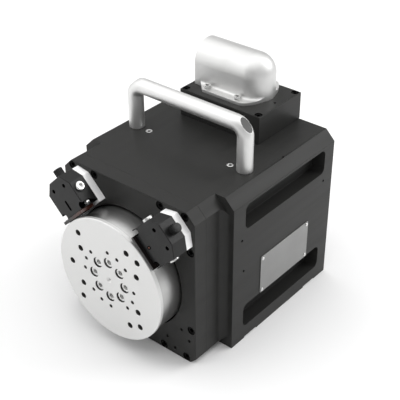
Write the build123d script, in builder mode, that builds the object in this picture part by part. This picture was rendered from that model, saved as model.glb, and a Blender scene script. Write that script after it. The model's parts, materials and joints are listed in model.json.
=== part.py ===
from build123d import *
import math
import os

os.makedirs("parts", exist_ok=True)

# Torque motor rotary table. Millimetres, Z up. The spindle axis is the Y axis:
# the front of the faceplate lies in y = 0 and the body runs back to +Y.

# Overall form of the body: the motor bore and its walls set the width and the height
cavity_radius = 90.0
side_wall = 13.0
top_wall = 26.0
block_half_width = cavity_radius + side_wall
body_top = cavity_radius + top_wall
body_base = -(cavity_radius + side_wall)
block_top_chamfer = 13.0
block_base_chamfer = 8.5
cover_front = 37.0
cover_depth = 20.0
web_depth = 4.5
step_front = 88.5
body_rear = 296.0
pad_half_width = 118.0
pad_chamfer = 13.5
step_radius = (pad_half_width - block_half_width) * 2 / 3
edge_break = 0.6

# Fits and clearances
seat_gap = 0.02
running_gap = 0.04
drum_gap = 2.0
drum_end_gap = 1.5
air_gap = 1.1
thread_play = 0.05
hole_play = 0.3

# Screws, by radius: shank, thread, clearance hole, head and its key
m4_thread = 2.0
m4_shank = m4_thread - thread_play
m4_clear = 2.2
m4_head_radius = 3.5
m4_head = 4.0
m4_key = 1.7
m5_thread = 2.5
m5_shank = m5_thread - thread_play
m5_clear = 2.75
m5_head_radius = 4.25
m5_head = 5.0
m5_key = 2.3
m5_key_depth = 2.6
m6_thread = 3.0
m6_shank = m6_thread - thread_play
m6_head_radius = 5.0
m6_head = 6.0
m6_key = 2.9
m6_key_depth = 3.0
m6_sink_radius = 5.5
m6_sink_depth = 7.0
m6_grip = 12.0
m8_thread = 4.0
m8_shank = m8_thread - thread_play
m8_head_radius = 6.5
m8_head = 8.0
m8_key = 3.46
m8_key_depth = 4.0
m8_sink_radius = 6.8
m8_sink_depth = 9.0
m8_grip = 15.0
thread_spare = 2.0

# Faceplate and its hole circles
plate_radius = 82.5
plate_rim = 5.0
plate_depth = 18.0
plate_chamfer = 0.8
drum_radius = plate_radius - 2.0
spigot_radius = drum_radius - 6.5
spindle_circle = 25.0
spindle_screws = 8
small_circle = 40.0
cross_circle = plate_radius - 30.0
cross_angle = 30.0
third_circle = plate_radius - 20.5
third_angle = 60.0
quarter_circle = plate_radius - 15.0
tapped_depth = 12.0
centre_mark_radius = 1.25
centre_sink_radius = 3.5
centre_mark_depth = 6.0

# Hollow spindle
journal_radius = cavity_radius - 50.0
nose_radius = journal_radius + 6.0
rear_journal_radius = journal_radius - 5.0
bore_radius = 15.0
bore_front = 44.0
spindle_chamfer = 1.0

# Graduated drum on the back of the faceplate
drum_end = cover_front + cover_depth - web_depth - drum_end_gap
drum_web = 6.0
drum_web_bore = nose_radius + 1.0
drum_wall_inner = spigot_radius
drum_wall_relief = 0.5
drum_screw_circle = nose_radius + 12.0
drum_screw_count = 6
drum_screw_angle = 15.0
drum_screw_grip = 5.5

# Crossed roller bearing, held in the body by the front cover
front_bearing_front = cover_front + cover_depth + 2.0
front_bearing_width = 24.0
front_pitch_radius = journal_radius + 17.0
front_bearing_radius = front_pitch_radius + 15.0
front_roller_radius = 4.0
front_roller_length = 7.8
front_rollers = 36
ring_parting = 0.8
shoulder_radius = front_bearing_radius - 6.0
nut_width = 10.0
nut_radius = journal_radius + 10.0
nut_slot_width = 7.0
nut_slot_depth = 2.5
nut_slot_length = 7.0

# Lip seal in the web of the cover
seal_outer_radius = nose_radius + 10.0
seal_depth = 4.0
seal_lip = 4.5
seal_lip_front = 1.6
seal_lip_rear = 2.4
cover_bore = nose_radius + 6.0

# Motor, between the bearing and the rear shield
motor_front = front_bearing_front + front_bearing_width + 13.0
jacket_rear = body_rear - 66.0
jacket_wall = 10.0
jacket_inner_radius = cavity_radius - jacket_wall
seal_groove_width = 4.6
seal_groove_radius = cavity_radius - 3.8
channel_margin = 19.0
first_channel = motor_front + channel_margin
channel_pitch = 16.0
channels = int((jacket_rear - channel_margin - first_channel) / channel_pitch) + 1
channel_width = 9.0
channel_depth = 4.0
crossing_width = 16.0
port_offset = (cavity_radius + 16.0) / math.sqrt(2)
port_radius = 5.9
port_thread = 16.0
duct_radius = 4.0
winding_space = 22.0
stack_front = motor_front + winding_space
stack_length = jacket_rear - winding_space - stack_front
stack_bore = journal_radius + 14.0
slots = 24
tooth_width = stack_bore * 4 / 27
slot_opening = 3.0
tooth_shoe = 3.0
stack_yoke = 8.0
slot_inner = stack_bore + tooth_shoe
slot_outer = jacket_inner_radius - stack_yoke
coil_clearance = 0.3
coil_spacing = 0.57
coil_overhang = 6.0
coil_corner = 3.0
poles = 22
magnet_depth = 3.9
magnet_share = 0.86
ring_overhang = 4.0
rotor_ring_front = stack_front - ring_overhang
rotor_ring_rear = stack_front + stack_length + ring_overhang

# Rear bearing, its shield, nut and cap, and the rear closing plate
rear_step = jacket_rear + 2.0
rear_bearing_front = rear_step + 1.0
rear_bearing_width = 18.0
rear_pitch_radius = rear_journal_radius + 11.5
rear_bearing_radius = rear_pitch_radius + 11.5
rear_roller_radius = 5.0
rear_roller_length = 10.0
rear_rollers = 18
rear_ring_lip = 1.8
cage_half = 1.5
cage_play = 0.15
shield_bore = rear_bearing_radius - 5.0
shield_depth = rear_bearing_front + rear_bearing_width - jacket_rear
shield_window_length = 44.0
shield_window_width = 12.0
shield_window_corner = 5.0
shield_window_inset = 15.0
rear_nut_radius = rear_journal_radius + 9.0
rear_nut_width = 9.0
rear_nut_slot_width = 6.0
rear_nut_slot_depth = 2.0
rear_nut_slot_length = 6.0
cap_radius = rear_bearing_radius + 10.5
cap_bore = rear_bearing_radius - 8.0
cap_thickness = 4.0
cap_screw_circle = rear_bearing_radius + 5.5
cap_screw_count = 6
cap_screw_grip = 8.0
spindle_end = body_rear - 26.0
rear_plate_radius = cavity_radius + 9.0
rear_plate_depth = 6.0
rear_plate_chamfer = 0.5
ring_groove_radius = cavity_radius + 3.5
ring_groove_width = 3.0
spring_ring_inner = cavity_radius - 5.0
spring_ring_gap = 46.0
rear_screw_circle = cavity_radius + 4.4
rear_screw_count = 8
rear_screw_angle = 22.5
rear_screw_grip = 8.0
rear_sink_radius = 4.1
rear_key = 1.4
flat_head = 2.0

# Lead passage, side pockets, base grooves and small threads of the body
opening_front = body_rear - 40.0
opening_rear = body_rear - 12.0
opening_half = 30.0
opening_depth = top_wall + 34.0
opening_corner = 8.0
base_thread_x = block_half_width - 23.0
base_thread_y = (step_front + 13.5, body_rear - 14.0)
base_thread_radius = 6.0
base_thread_depth = 18.0
pocket_front = step_front + 22.5
pocket_rear = body_rear - 20.5
pocket_height = 34.0
upper_pocket = (body_top - 17.0 - pocket_height, body_top - 17.0)
lower_pocket = (body_base + 19.5, body_base + 19.5 + pocket_height)
pocket_depth = 19.0
pocket_radius = 8.0
groove_fronts = (step_front + 26.0, body_rear - 51.0)
groove_width = 25.5
groove_depth = 1.8
pad_thread = 1.7
pad_thread_depth = 8.0
pad_thread_level = upper_pocket[0] - 12.5
mark_hole = 1.6
mark_hole_depth = 5.0

# Nameplate and its rivets
label_front = step_front + 55.0
label_rear = body_rear - 51.0
label_base = lower_pocket[1] + 1.0
label_top = label_base + 55.5
label_thickness = 1.0
label_corner = 2.0
rivet_inset = 3.8
rivet_radius = 1.45
rivet_hole = 1.6
rivet_head_radius = 2.4
rivet_head = 1.0
rivet_length = 6.0

# Top box with its gasket
box_half_width = 63.0
box_front = body_rear - 88.5
box_top = body_top + 37.5
box_screw_inset = 5.6
box_wall = 11.5
box_roof = 6.5
box_corner = 6.0
box_sink_radius = 4.8
box_sink_depth = 6.0
box_screw_grip = 11.0
gasket_thickness = 1.0
gasket_margin = 0.5
throat_length = 46.0
throat_width = 36.0

# Cable elbow on its flange
elbow_radius = 26.9
elbow_wall = 2.6
elbow_end_x = 18.5
elbow_mouth_x = -57.0
elbow_axis_z = box_top + 29.5
flange_half = elbow_radius + 12.6
elbow_y = body_rear - flange_half
flange_thickness = 4.0
flange_left = -50.6
flange_bevel = 16.0
flange_arc_radius = 55.0
flange_arc_x = -11.0
flange_corner = 12.0
root_radius = 4.0
elbow_screw_x = (-31.0, 17.0)
elbow_screw_inset = 6.0
elbow_screw_grip = 9.0
spot_face_radius = 5.6

# Grab handle and the two flat screws beside it
handle_x = block_half_width - 17.0
handle_y = step_front + 60.8
handle_z = body_top + 59.8
bar_radius = 10.0
bar_bend = 15.0
corner_cut = 2.4
stud_radius = 5.0
stud_in_handle = 18.0
stud_in_body = 20.0
top_screw_x = handle_x - 21.0
top_screw_y = handle_y - 0.8
top_screw_length = 10.0
top_screw_head = 1.6
top_sink_radius = 4.4
top_key = 1.8

# Scanning heads, drawn for the right side as (outward, sideways) from the spindle axis
spacer_front = cover_front - 10.0
head_front = spacer_front - 21.7
window_front = head_front - 4.3
window_rear = window_front + 21.0
window_inner = drum_radius + 3.1
spacer_inner = drum_radius + 3.5
head_inner = window_inner + 3.8
head_outer = head_inner + 47.6
head_low = -17.5
head_high = 34.5
low_corner = (head_outer - 11.0, -2.5)
high_corner = (head_outer - 14.0, 24.0)
window_low = -16.0
window_high = 28.0
window_chamfer = 0.4
head_seat = head_front + 10.7
head_screw_out = head_inner + 3.8
head_screw_inset = 3.8
head_sink_radius = 4.7
head_screw_grip = 10.0
front_socket_places = ((head_outer - 12.5, 21.5), (head_outer - 10.5, -3.0))
front_socket_radius = 2.5
front_socket_depth = 8.0
side_screw_out = head_inner + 24.1
side_screw_y = head_front + 9.7
side_screw_radius = 6.2
side_screw_heights = (3.5, 2.4)
side_key_depth = 2.0
side_hole_depth = 12.0
knob_sideways = 10.5
knob_y = head_front + 12.5
knob_radius = 5.8
knob_length = 10.0
knob_chamfer = 0.8
knob_hole_depth = 8.0

front_normal = (0, -1, 0)
diagonal = 1 / math.sqrt(2)


def facing_front(y):
    """Plane across the spindle axis at depth y; extruding by a negative amount runs to the rear."""
    return Plane.XZ.offset(-y)


def head_plane(y):
    """The same, turned so that its x runs outward at 45 degrees, up and to the right."""
    return Plane(origin=(0, y, 0), x_dir=(diagonal, 0, diagonal), z_dir=front_normal)


def half_section(points):
    """Closed half section as (radius, y) pairs, to be turned about the spindle axis."""
    with BuildSketch(Plane.XY) as section:
        with BuildLine():
            Polyline(*points, close=True)
        make_face()
    return section.sketch


def outline(plane, points):
    """Closed polygon on a plane."""
    with BuildSketch(plane) as drawn:
        with BuildLine():
            Polyline(*points, close=True)
        make_face()
    return drawn.sketch


def block_points():
    """Front view of the body's narrow part: bevelled top corners, small bevels at the base."""
    w, c, b = block_half_width, block_top_chamfer, block_base_chamfer
    return [
        (-w, body_base + b), (-w + b, body_base), (w - b, body_base), (w, body_base + b),
        (w, body_top - c), (w - c, body_top), (-w + c, body_top), (-w, body_top - c),
    ]


def pad_points():
    """Front view of the wide rear part with its two side pads."""
    w, c = pad_half_width, pad_chamfer
    return [
        (-w, body_base), (w, body_base), (w, body_top - c),
        (w - c, body_top), (-w + c, body_top), (-w, body_top - c),
    ]


# Screw places of the front cover: three at each corner
cover_screw_insets = ((14.5, 6.3), (51.0, 6.3), (6.7, 51.7))
centre_height = (body_top + body_base) / 2
half_height = (body_top - body_base) / 2
cover_screw_places = []
for side in (-1, 1):
    for level in (-1, 1):
        for inset_x, inset_z in cover_screw_insets:
            cover_screw_places.append((
                side * (block_half_width - inset_x), centre_height + level * (half_height - inset_z)
            ))

# Attachment pattern at the two lower corners of the front cover
pattern_outs = (cavity_radius + 8.1, cavity_radius + 25.2)
pattern_half_width = 16.4
pattern_thread = 2.1
pattern_depth = 10.0
corner_pattern = []
for side in (-1, 1):
    for out in pattern_outs:
        for sideways in (-pattern_half_width, pattern_half_width):
            corner_pattern.append(
                (side * (out + sideways) * diagonal, (sideways - out) * diagonal)
            )


# Faceplate: a flat disc with a thin rim and a thick spigot that centres the drum
small_angles = []
for quarter in range(4):
    for turn in (0.0, -22.5, -45.0):
        small_angles.append(90.0 * quarter + turn)
with BuildPart() as faceplate:
    revolve(
        half_section([
            (0, 0), (plate_radius, 0), (plate_radius, plate_rim),
            (spigot_radius, plate_rim), (spigot_radius, plate_depth), (0, plate_depth),
        ]),
        axis=Axis.Y,
    )
    rim = faceplate.edges().filter_by(GeomType.CIRCLE).group_by(Axis.Y)[0]
    chamfer(rim, plate_chamfer)
    with Locations(facing_front(0)):
        with PolarLocations(spindle_circle, spindle_screws):
            CounterBoreHole(m8_thread + hole_play, m8_sink_radius, m8_sink_depth)
    with Locations(facing_front(0)):
        for angle in small_angles:
            with PolarLocations(small_circle, 1, start_angle=angle):
                Hole(m5_thread, depth=tapped_depth)
        with PolarLocations(quarter_circle, 4, start_angle=45):
            Hole(m8_thread, depth=tapped_depth)
        with PolarLocations(third_circle, 3, start_angle=third_angle):
            Hole(m8_thread, depth=tapped_depth)
        for angle in (cross_angle, 180 - cross_angle, 180 + cross_angle, -cross_angle):
            with PolarLocations(cross_circle, 1, start_angle=angle):
                Hole(m8_thread, depth=tapped_depth)
        CounterSinkHole(centre_mark_radius, centre_sink_radius, depth=centre_mark_depth)
    with Locations(Plane(origin=(0, plate_depth, 0), x_dir=(1, 0, 0), z_dir=(0, 1, 0))):
        with PolarLocations(drum_screw_circle, drum_screw_count, start_angle=drum_screw_angle):
            Hole(m5_thread, depth=drum_screw_grip + hole_play)

# Screws that hold the faceplate on the spindle nose
with BuildPart() as faceplate_screws:
    with Locations(facing_front(m8_sink_depth - m8_head)):
        with PolarLocations(spindle_circle, spindle_screws):
            Cylinder(m8_head_radius, m8_head, align=(Align.CENTER, Align.CENTER, Align.MAX))
    with BuildSketch(facing_front(m8_sink_depth - m8_head)):
        with PolarLocations(spindle_circle, spindle_screws):
            RegularPolygon(m8_key, 6)
    extrude(amount=-m8_key_depth, mode=Mode.SUBTRACT)
    with Locations(facing_front(m8_sink_depth)):
        with PolarLocations(spindle_circle, spindle_screws):
            Cylinder(
                m8_shank, plate_depth - m8_sink_depth + m8_grip,
                align=(Align.CENTER, Align.CENTER, Align.MAX),
            )

# Graduated drum: the polished ring that the scanning heads read
with BuildPart() as graduated_drum:
    web_front = plate_depth
    web_rear = plate_depth + drum_web
    revolve(
        half_section([
            (drum_wall_inner + seat_gap, plate_rim), (drum_radius, plate_rim),
            (drum_radius, drum_end), (drum_wall_inner + drum_wall_relief, drum_end),
            (drum_wall_inner + drum_wall_relief, web_rear), (drum_web_bore, web_rear),
            (drum_web_bore, web_front), (drum_wall_inner + seat_gap, web_front),
        ]),
        axis=Axis.Y,
    )
    with Locations(Plane(origin=(0, web_rear, 0), x_dir=(1, 0, 0), z_dir=(0, 1, 0))):
        with PolarLocations(drum_screw_circle, drum_screw_count, start_angle=drum_screw_angle):
            Hole(m5_clear)

# Screws that hold the drum on the back of the faceplate
with BuildPart() as drum_screws:
    with Locations(facing_front(web_rear)):
        with PolarLocations(drum_screw_circle, drum_screw_count, start_angle=-drum_screw_angle):
            Cylinder(m5_head_radius, m5_head, align=(Align.CENTER, Align.CENTER, Align.MAX))
    with Locations(facing_front(plate_depth - drum_screw_grip)):
        with PolarLocations(drum_screw_circle, drum_screw_count, start_angle=-drum_screw_angle):
            Cylinder(
                m5_shank, drum_web + drum_screw_grip, align=(Align.CENTER, Align.CENTER, Align.MAX)
            )

# Hollow spindle: thick nose, long journal for bearing and rotor, thinner rear journal
with BuildPart() as spindle:
    revolve(
        half_section([
            (0, plate_depth), (nose_radius, plate_depth), (nose_radius, front_bearing_front),
            (journal_radius, front_bearing_front), (journal_radius, rear_step),
            (rear_journal_radius, rear_step), (rear_journal_radius, spindle_end),
            (bore_radius, spindle_end), (bore_radius, bore_front), (0, bore_front),
        ]),
        axis=Axis.Y,
    )
    end_edges = spindle.edges().filter_by(GeomType.CIRCLE).group_by(Axis.Y)[-1]
    chamfer(end_edges, spindle_chamfer)
    with Locations(facing_front(plate_depth)):
        with PolarLocations(spindle_circle, spindle_screws):
            Hole(m8_thread, depth=m8_grip + thread_spare)

# Front bearing: the rollers cross one another between two V grooves
front_bearing_rear = front_bearing_front + front_bearing_width
front_bearing_middle = (front_bearing_front + front_bearing_rear) / 2
groove_half = (front_roller_radius + running_gap / 2) * math.sqrt(2)
inner_land = front_pitch_radius - ring_parting
outer_land = front_pitch_radius + ring_parting
inner_vee = groove_half - ring_parting
with BuildPart() as front_bearing_inner_ring:
    revolve(
        half_section([
            (journal_radius + seat_gap, front_bearing_front),
            (inner_land, front_bearing_front),
            (inner_land, front_bearing_middle - inner_vee),
            (front_pitch_radius - groove_half, front_bearing_middle),
            (inner_land, front_bearing_middle + inner_vee),
            (inner_land, front_bearing_rear),
            (journal_radius + seat_gap, front_bearing_rear),
        ]),
        axis=Axis.Y,
    )
with BuildPart() as front_bearing_outer_ring:
    revolve(
        half_section([
            (front_bearing_radius - seat_gap, front_bearing_front),
            (outer_land, front_bearing_front),
            (outer_land, front_bearing_middle - inner_vee),
            (front_pitch_radius + groove_half, front_bearing_middle),
            (outer_land, front_bearing_middle + inner_vee),
            (outer_land, front_bearing_rear),
            (front_bearing_radius - seat_gap, front_bearing_rear),
        ]),
        axis=Axis.Y,
    )
with BuildPart() as front_bearing_rollers:
    for index in range(front_rollers):
        around = math.radians(360.0 * index / front_rollers)
        lean = 1 if index % 2 else -1
        seat = Plane(
            origin=(
                front_pitch_radius * math.cos(around),
                front_bearing_middle,
                front_pitch_radius * math.sin(around),
            ),
            z_dir=(math.cos(around), lean, math.sin(around)),
        )
        with Locations(seat):
            Cylinder(front_roller_radius - running_gap / 2, front_roller_length)

# Locking nut behind the inner ring
with BuildPart() as bearing_nut:
    revolve(
        half_section([
            (journal_radius + seat_gap, front_bearing_rear),
            (nut_radius, front_bearing_rear),
            (nut_radius, front_bearing_rear + nut_width),
            (journal_radius + seat_gap, front_bearing_rear + nut_width),
        ]),
        axis=Axis.Y,
    )
    with BuildSketch(facing_front(front_bearing_rear + nut_width)):
        with PolarLocations(nut_radius, 4):
            Rectangle(2 * nut_slot_depth, nut_slot_width)
    extrude(amount=nut_slot_length, mode=Mode.SUBTRACT)

# Lip seal between the cover web and the spindle nose
seal_front = cover_front + cover_depth - web_depth
with BuildPart() as shaft_seal:
    revolve(
        half_section([
            (seal_outer_radius - seat_gap, seal_front),
            (seal_outer_radius - seat_gap, seal_front + seal_depth),
            (nose_radius + seal_lip, seal_front + seal_depth),
            (nose_radius + seal_lip, seal_front + seal_lip_rear),
            (nose_radius + running_gap, seal_front + seal_lip_rear),
            (nose_radius + running_gap, seal_front + seal_lip_front),
            (nose_radius + seal_lip, seal_front),
        ]),
        axis=Axis.Y,
    )

# Front cover: closes the body, carries the seal and the two scanning heads
cover_rear = cover_front + cover_depth
with BuildPart() as front_cover:
    extrude(outline(facing_front(cover_front), block_points()), amount=-cover_depth)
    chamfer(front_cover.faces().sort_by(Axis.Y)[0].edges(), edge_break)
    with BuildSketch(facing_front(cover_rear)):
        Circle(front_bearing_radius - seat_gap)
    extrude(amount=-(front_bearing_front - cover_rear))
    with Locations(facing_front(cover_front)):
        Hole(drum_radius + drum_gap, depth=cover_depth - web_depth)
        Hole(seal_outer_radius, depth=cover_depth - web_depth + seal_depth)
        Hole(cover_bore)
    with Locations(facing_front(cover_front)):
        with Locations(*cover_screw_places):
            CounterBoreHole(m6_thread + hole_play, m6_sink_radius, m6_sink_depth)
        with Locations(*corner_pattern):
            Hole(pattern_thread, depth=pattern_depth)
    for side in (-1, 1):
        for sideways in (head_low + head_screw_inset, head_high - head_screw_inset):
            screw_x = side * (head_screw_out - sideways) * diagonal
            screw_z = (head_screw_out + sideways) * diagonal
            with Locations(Plane(origin=(screw_x, cover_front, screw_z), z_dir=front_normal)):
                Hole(m4_thread, depth=head_screw_grip + thread_spare)

with BuildPart() as cover_screws:
    with BuildSketch(facing_front(cover_front + m6_sink_depth - m6_head)):
        with Locations(*cover_screw_places):
            Circle(m6_head_radius)
    extrude(amount=-m6_head)
    with BuildSketch(facing_front(cover_front + m6_sink_depth - m6_head)):
        with Locations(*cover_screw_places):
            RegularPolygon(m6_key, 6)
    extrude(amount=-m6_key_depth, mode=Mode.SUBTRACT)
    with BuildSketch(facing_front(cover_front + m6_sink_depth)):
        with Locations(*cover_screw_places):
            Circle(m6_shank)
    extrude(amount=-(cover_depth - m6_sink_depth + m6_grip))

# Screw and rivet places shared by the body and what stands on it
box_middle = (box_front + body_rear) / 2
box_length = body_rear - box_front
box_screw_places = []
for side in (-1, 1):
    for level in (-1, 1):
        box_screw_places.append((
            side * (box_half_width - box_screw_inset),
            box_middle + level * (box_length / 2 - box_screw_inset),
        ))
handle_places = [(-handle_x, handle_y), (handle_x, handle_y)]
top_screw_places = [(-top_screw_x, top_screw_y), (top_screw_x, top_screw_y)]
rivet_places = []
for y in (label_front + rivet_inset, label_rear - rivet_inset):
    for z in (label_base + rivet_inset, label_top - rivet_inset):
        rivet_places.append((y, z))

# Body: one block, stepped out to two side pads, bored from the rear for bearing and motor
with BuildPart() as housing:
    extrude(outline(facing_front(cover_rear), block_points()), amount=-(body_rear - cover_rear))
    extrude(outline(facing_front(step_front), pad_points()), amount=-(body_rear - step_front))
    step_edges = [
        edge
        for edge in housing.edges().filter_by(Axis.Z)
        if abs(abs(edge.center().X) - block_half_width) < 0.01
        and abs(edge.center().Y - step_front) < 0.01
    ]
    fillet(step_edges, step_radius)
    chamfer(housing.faces().sort_by(Axis.Y)[-1].edges(), edge_break)
    revolve(
        half_section([
            (0, cover_rear), (front_bearing_radius, cover_rear),
            (front_bearing_radius, front_bearing_rear), (shoulder_radius, front_bearing_rear),
            (shoulder_radius, motor_front), (cavity_radius, motor_front),
            (cavity_radius, jacket_rear + shield_depth),
            (ring_groove_radius, jacket_rear + shield_depth),
            (ring_groove_radius, jacket_rear + shield_depth + ring_groove_width),
            (cavity_radius, jacket_rear + shield_depth + ring_groove_width),
            (cavity_radius, body_rear - rear_plate_depth),
            (rear_plate_radius, body_rear - rear_plate_depth),
            (rear_plate_radius, body_rear), (0, body_rear),
        ]),
        axis=Axis.Y,
        mode=Mode.SUBTRACT,
    )
    # Long pockets in both side pads
    for side in (-1, 1):
        side_plane = Plane(origin=(side * pad_half_width, 0, 0), x_dir=(0, 1, 0), z_dir=(1, 0, 0))
        for low, high in (upper_pocket, lower_pocket):
            with BuildSketch(side_plane):
                with Locations(((pocket_front + pocket_rear) / 2, (low + high) / 2)):
                    RectangleRounded(pocket_rear - pocket_front, high - low, pocket_radius)
            extrude(amount=-side * pocket_depth, mode=Mode.SUBTRACT)
    # Shallow grooves across the base
    for groove_front in groove_fronts:
        with Locations((0, groove_front + groove_width / 2, body_base)):
            Box(
                2 * pad_half_width + 2, groove_width, groove_depth,
                align=(Align.CENTER, Align.CENTER, Align.MIN), mode=Mode.SUBTRACT,
            )
    # Passage for the motor leads, up into the top box
    with BuildSketch(Plane.XY.offset(body_top)):
        with Locations((0, (opening_front + opening_rear) / 2)):
            RectangleRounded(2 * opening_half, opening_rear - opening_front, opening_corner)
    extrude(amount=-opening_depth, mode=Mode.SUBTRACT)
    # Threads for the cover screws
    with Locations(facing_front(cover_rear)):
        with Locations(*cover_screw_places):
            Hole(m6_thread, depth=m6_grip + thread_spare)
    # Threads for the handle, the top screws and the box, and one small hole beside the box
    with Locations(Plane.XY.offset(body_top)):
        with Locations(*handle_places):
            Hole(stud_radius, depth=stud_in_body + thread_spare)
        with Locations(*top_screw_places):
            CounterSinkHole(m6_thread, top_sink_radius, depth=top_screw_length + thread_spare)
        with Locations(*box_screw_places):
            Hole(m5_thread, depth=box_screw_grip + thread_spare)
        with Locations((pad_half_width - 15.0, box_front - 4.5)):
            Hole(mark_hole, depth=mark_hole_depth)
    # Small tapped holes of the side pads
    for side in (-1, 1):
        side_plane = Plane(origin=(side * pad_half_width, 0, 0), x_dir=(0, 1, 0), z_dir=(side, 0, 0))
        with Locations(side_plane):
            with Locations(
                (step_front + 16.5, pad_thread_level * side),
                (body_rear - 20.5, pad_thread_level * side),
                (step_front + 21.0, (label_top - 1.0) * side),
            ):
                Hole(pad_thread, depth=pad_thread_depth)
    for y, z in rivet_places:
        with Locations(Plane(origin=(pad_half_width, y, z), z_dir=(1, 0, 0))):
            Hole(rivet_radius + thread_play, depth=rivet_length + thread_spare)
    # Fastening threads in the base
    with Locations(Plane(origin=(0, 0, body_base), x_dir=(1, 0, 0), z_dir=(0, 0, -1))):
        for y in base_thread_y:
            with Locations((-base_thread_x, -y), (base_thread_x, -y)):
                Hole(base_thread_radius, depth=base_thread_depth)
    # Water ports in the rear, each led along the body and in to one end of the jacket
    last_channel = first_channel + channel_pitch * (channels - 1)
    for side, reach in ((-1, first_channel), (1, last_channel)):
        port = Plane(
            origin=(side * port_offset, body_rear, -port_offset), x_dir=(1, 0, 0), z_dir=(0, 1, 0)
        )
        with Locations(port):
            Hole(port_radius, depth=port_thread)
            Hole(duct_radius, depth=body_rear - reach + duct_radius)
        duct = Plane(
            origin=(side * port_offset, reach, -port_offset), z_dir=(side * diagonal, 0, -diagonal)
        )
        with Locations(duct):
            Cylinder(
                duct_radius, port_offset / diagonal - cavity_radius + 2,
                align=(Align.CENTER, Align.CENTER, Align.MAX), mode=Mode.SUBTRACT,
            )
    # Threads for the rear plate
    with Locations(Plane(origin=(0, body_rear - rear_plate_depth, 0), x_dir=(1, 0, 0), z_dir=(0, 1, 0))):
        with PolarLocations(rear_screw_circle, rear_screw_count, start_angle=rear_screw_angle):
            Hole(m4_thread, depth=rear_screw_grip + thread_spare)

# Cooling jacket, with ring channels round the outside and two sealing grooves
jacket_front = motor_front
jacket_outer = cavity_radius - seat_gap
jacket_seals = (jacket_front + 6.0, jacket_rear - 7.0)
with BuildPart() as cooling_jacket:
    revolve(
        half_section([
            (jacket_inner_radius + seat_gap, jacket_front), (jacket_outer, jacket_front),
            (jacket_outer, jacket_rear), (jacket_inner_radius + seat_gap, jacket_rear),
        ]),
        axis=Axis.Y,
    )
    for index in range(channels):
        middle = first_channel + channel_pitch * index
        revolve(
            half_section([
                (jacket_outer - channel_depth, middle - channel_width / 2),
                (jacket_outer + 1, middle - channel_width / 2),
                (jacket_outer + 1, middle + channel_width / 2),
                (jacket_outer - channel_depth, middle + channel_width / 2),
            ]),
            axis=Axis.Y,
            mode=Mode.SUBTRACT,
        )
    # Crossings, by turns left and right, lead the water from ring to ring
    for index in range(channels - 1):
        crossing_y = first_channel + channel_pitch * (index + 0.5)
        crossing_x = jacket_outer * (1 if index % 2 else -1)
        with Locations((crossing_x, crossing_y, 0)):
            Box(
                2 * channel_depth, channel_pitch - channel_width + 1, crossing_width,
                mode=Mode.SUBTRACT,
            )
    for middle in jacket_seals:
        revolve(
            half_section([
                (seal_groove_radius, middle - seal_groove_width / 2),
                (jacket_outer + 1, middle - seal_groove_width / 2),
                (jacket_outer + 1, middle + seal_groove_width / 2),
                (seal_groove_radius, middle + seal_groove_width / 2),
            ]),
            axis=Axis.Y,
            mode=Mode.SUBTRACT,
        )

seal_ring_radius = (cavity_radius - seal_groove_radius) / 2 - seat_gap
with BuildPart() as jacket_seal_rings:
    for middle in jacket_seals:
        with Locations(facing_front(middle)):
            Torus(seal_groove_radius + seat_gap + seal_ring_radius, seal_ring_radius)

# Stator stack: a slotted ring whose teeth end in shoes
slot_pitch = 360.0 / slots
with BuildPart() as stator_stack:
    revolve(
        half_section([
            (stack_bore, stack_front), (jacket_inner_radius, stack_front),
            (jacket_inner_radius, stack_front + stack_length), (stack_bore, stack_front + stack_length),
        ]),
        axis=Axis.Y,
    )
    inner_half = slot_inner * math.sin(math.pi / slots) - tooth_width / 2
    outer_half = slot_outer * math.sin(math.pi / slots) - tooth_width / 2
    with BuildSketch(facing_front(stack_front)):
        for index in range(slots):
            with Locations(Location((0, 0, 0), slot_pitch * (index + 0.5))):
                Polygon(
                    (slot_inner, -inner_half), (slot_outer, -outer_half),
                    (slot_outer, outer_half), (slot_inner, inner_half), align=None,
                )
                Polygon(
                    (stack_bore - 1, -slot_opening / 2), (slot_inner + 1, -slot_opening / 2),
                    (slot_inner + 1, slot_opening / 2), (stack_bore - 1, slot_opening / 2), align=None,
                )
    extrude(amount=-stack_length, mode=Mode.SUBTRACT)

# One coil round every tooth
coil_inner = slot_inner + 1.0
coil_outer = slot_outer - 1.5
coil_hole_width = tooth_width + 2 * coil_clearance
coil_hole_length = stack_length + 2 * coil_clearance
coil_build = coil_inner * math.sin(math.pi / slots) - coil_hole_width / 2 - coil_spacing
with BuildPart() as stator_coils:
    for index in range(slots):
        around = math.radians(slot_pitch * index)
        tooth_plane = Plane(
            origin=(
                coil_inner * math.cos(around),
                stack_front + stack_length / 2,
                coil_inner * math.sin(around),
            ),
            x_dir=(0, 1, 0),
            z_dir=(math.cos(around), 0, math.sin(around)),
        )
        with BuildSketch(tooth_plane):
            RectangleRounded(
                coil_hole_length + 2 * coil_overhang, coil_hole_width + 2 * coil_build, coil_corner
            )
            Rectangle(coil_hole_length, coil_hole_width, mode=Mode.SUBTRACT)
        extrude(amount=coil_outer - coil_inner)

# Rotor: an iron ring shrunk on the spindle, with magnets round it
magnet_outer = stack_bore - air_gap
rotor_ring_radius = magnet_outer - magnet_depth
with BuildPart() as rotor_ring:
    revolve(
        half_section([
            (journal_radius + seat_gap, rotor_ring_front), (rotor_ring_radius, rotor_ring_front),
            (rotor_ring_radius, rotor_ring_rear), (journal_radius + seat_gap, rotor_ring_rear),
        ]),
        axis=Axis.Y,
    )
with BuildPart() as rotor_magnets:
    half_angle = 180.0 / poles * magnet_share
    for index in range(poles):
        with BuildSketch(facing_front(stack_front)):
            middle = 360.0 / poles * index
            with BuildLine():
                outer_arc = CenterArc((0, 0), magnet_outer, middle - half_angle, 2 * half_angle)
                inner_arc = CenterArc(
                    (0, 0), rotor_ring_radius + seat_gap, middle - half_angle, 2 * half_angle
                )
                Line(outer_arc @ 0, inner_arc @ 0)
                Line(outer_arc @ 1, inner_arc @ 1)
            make_face()
        extrude(amount=-stack_length)

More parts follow.
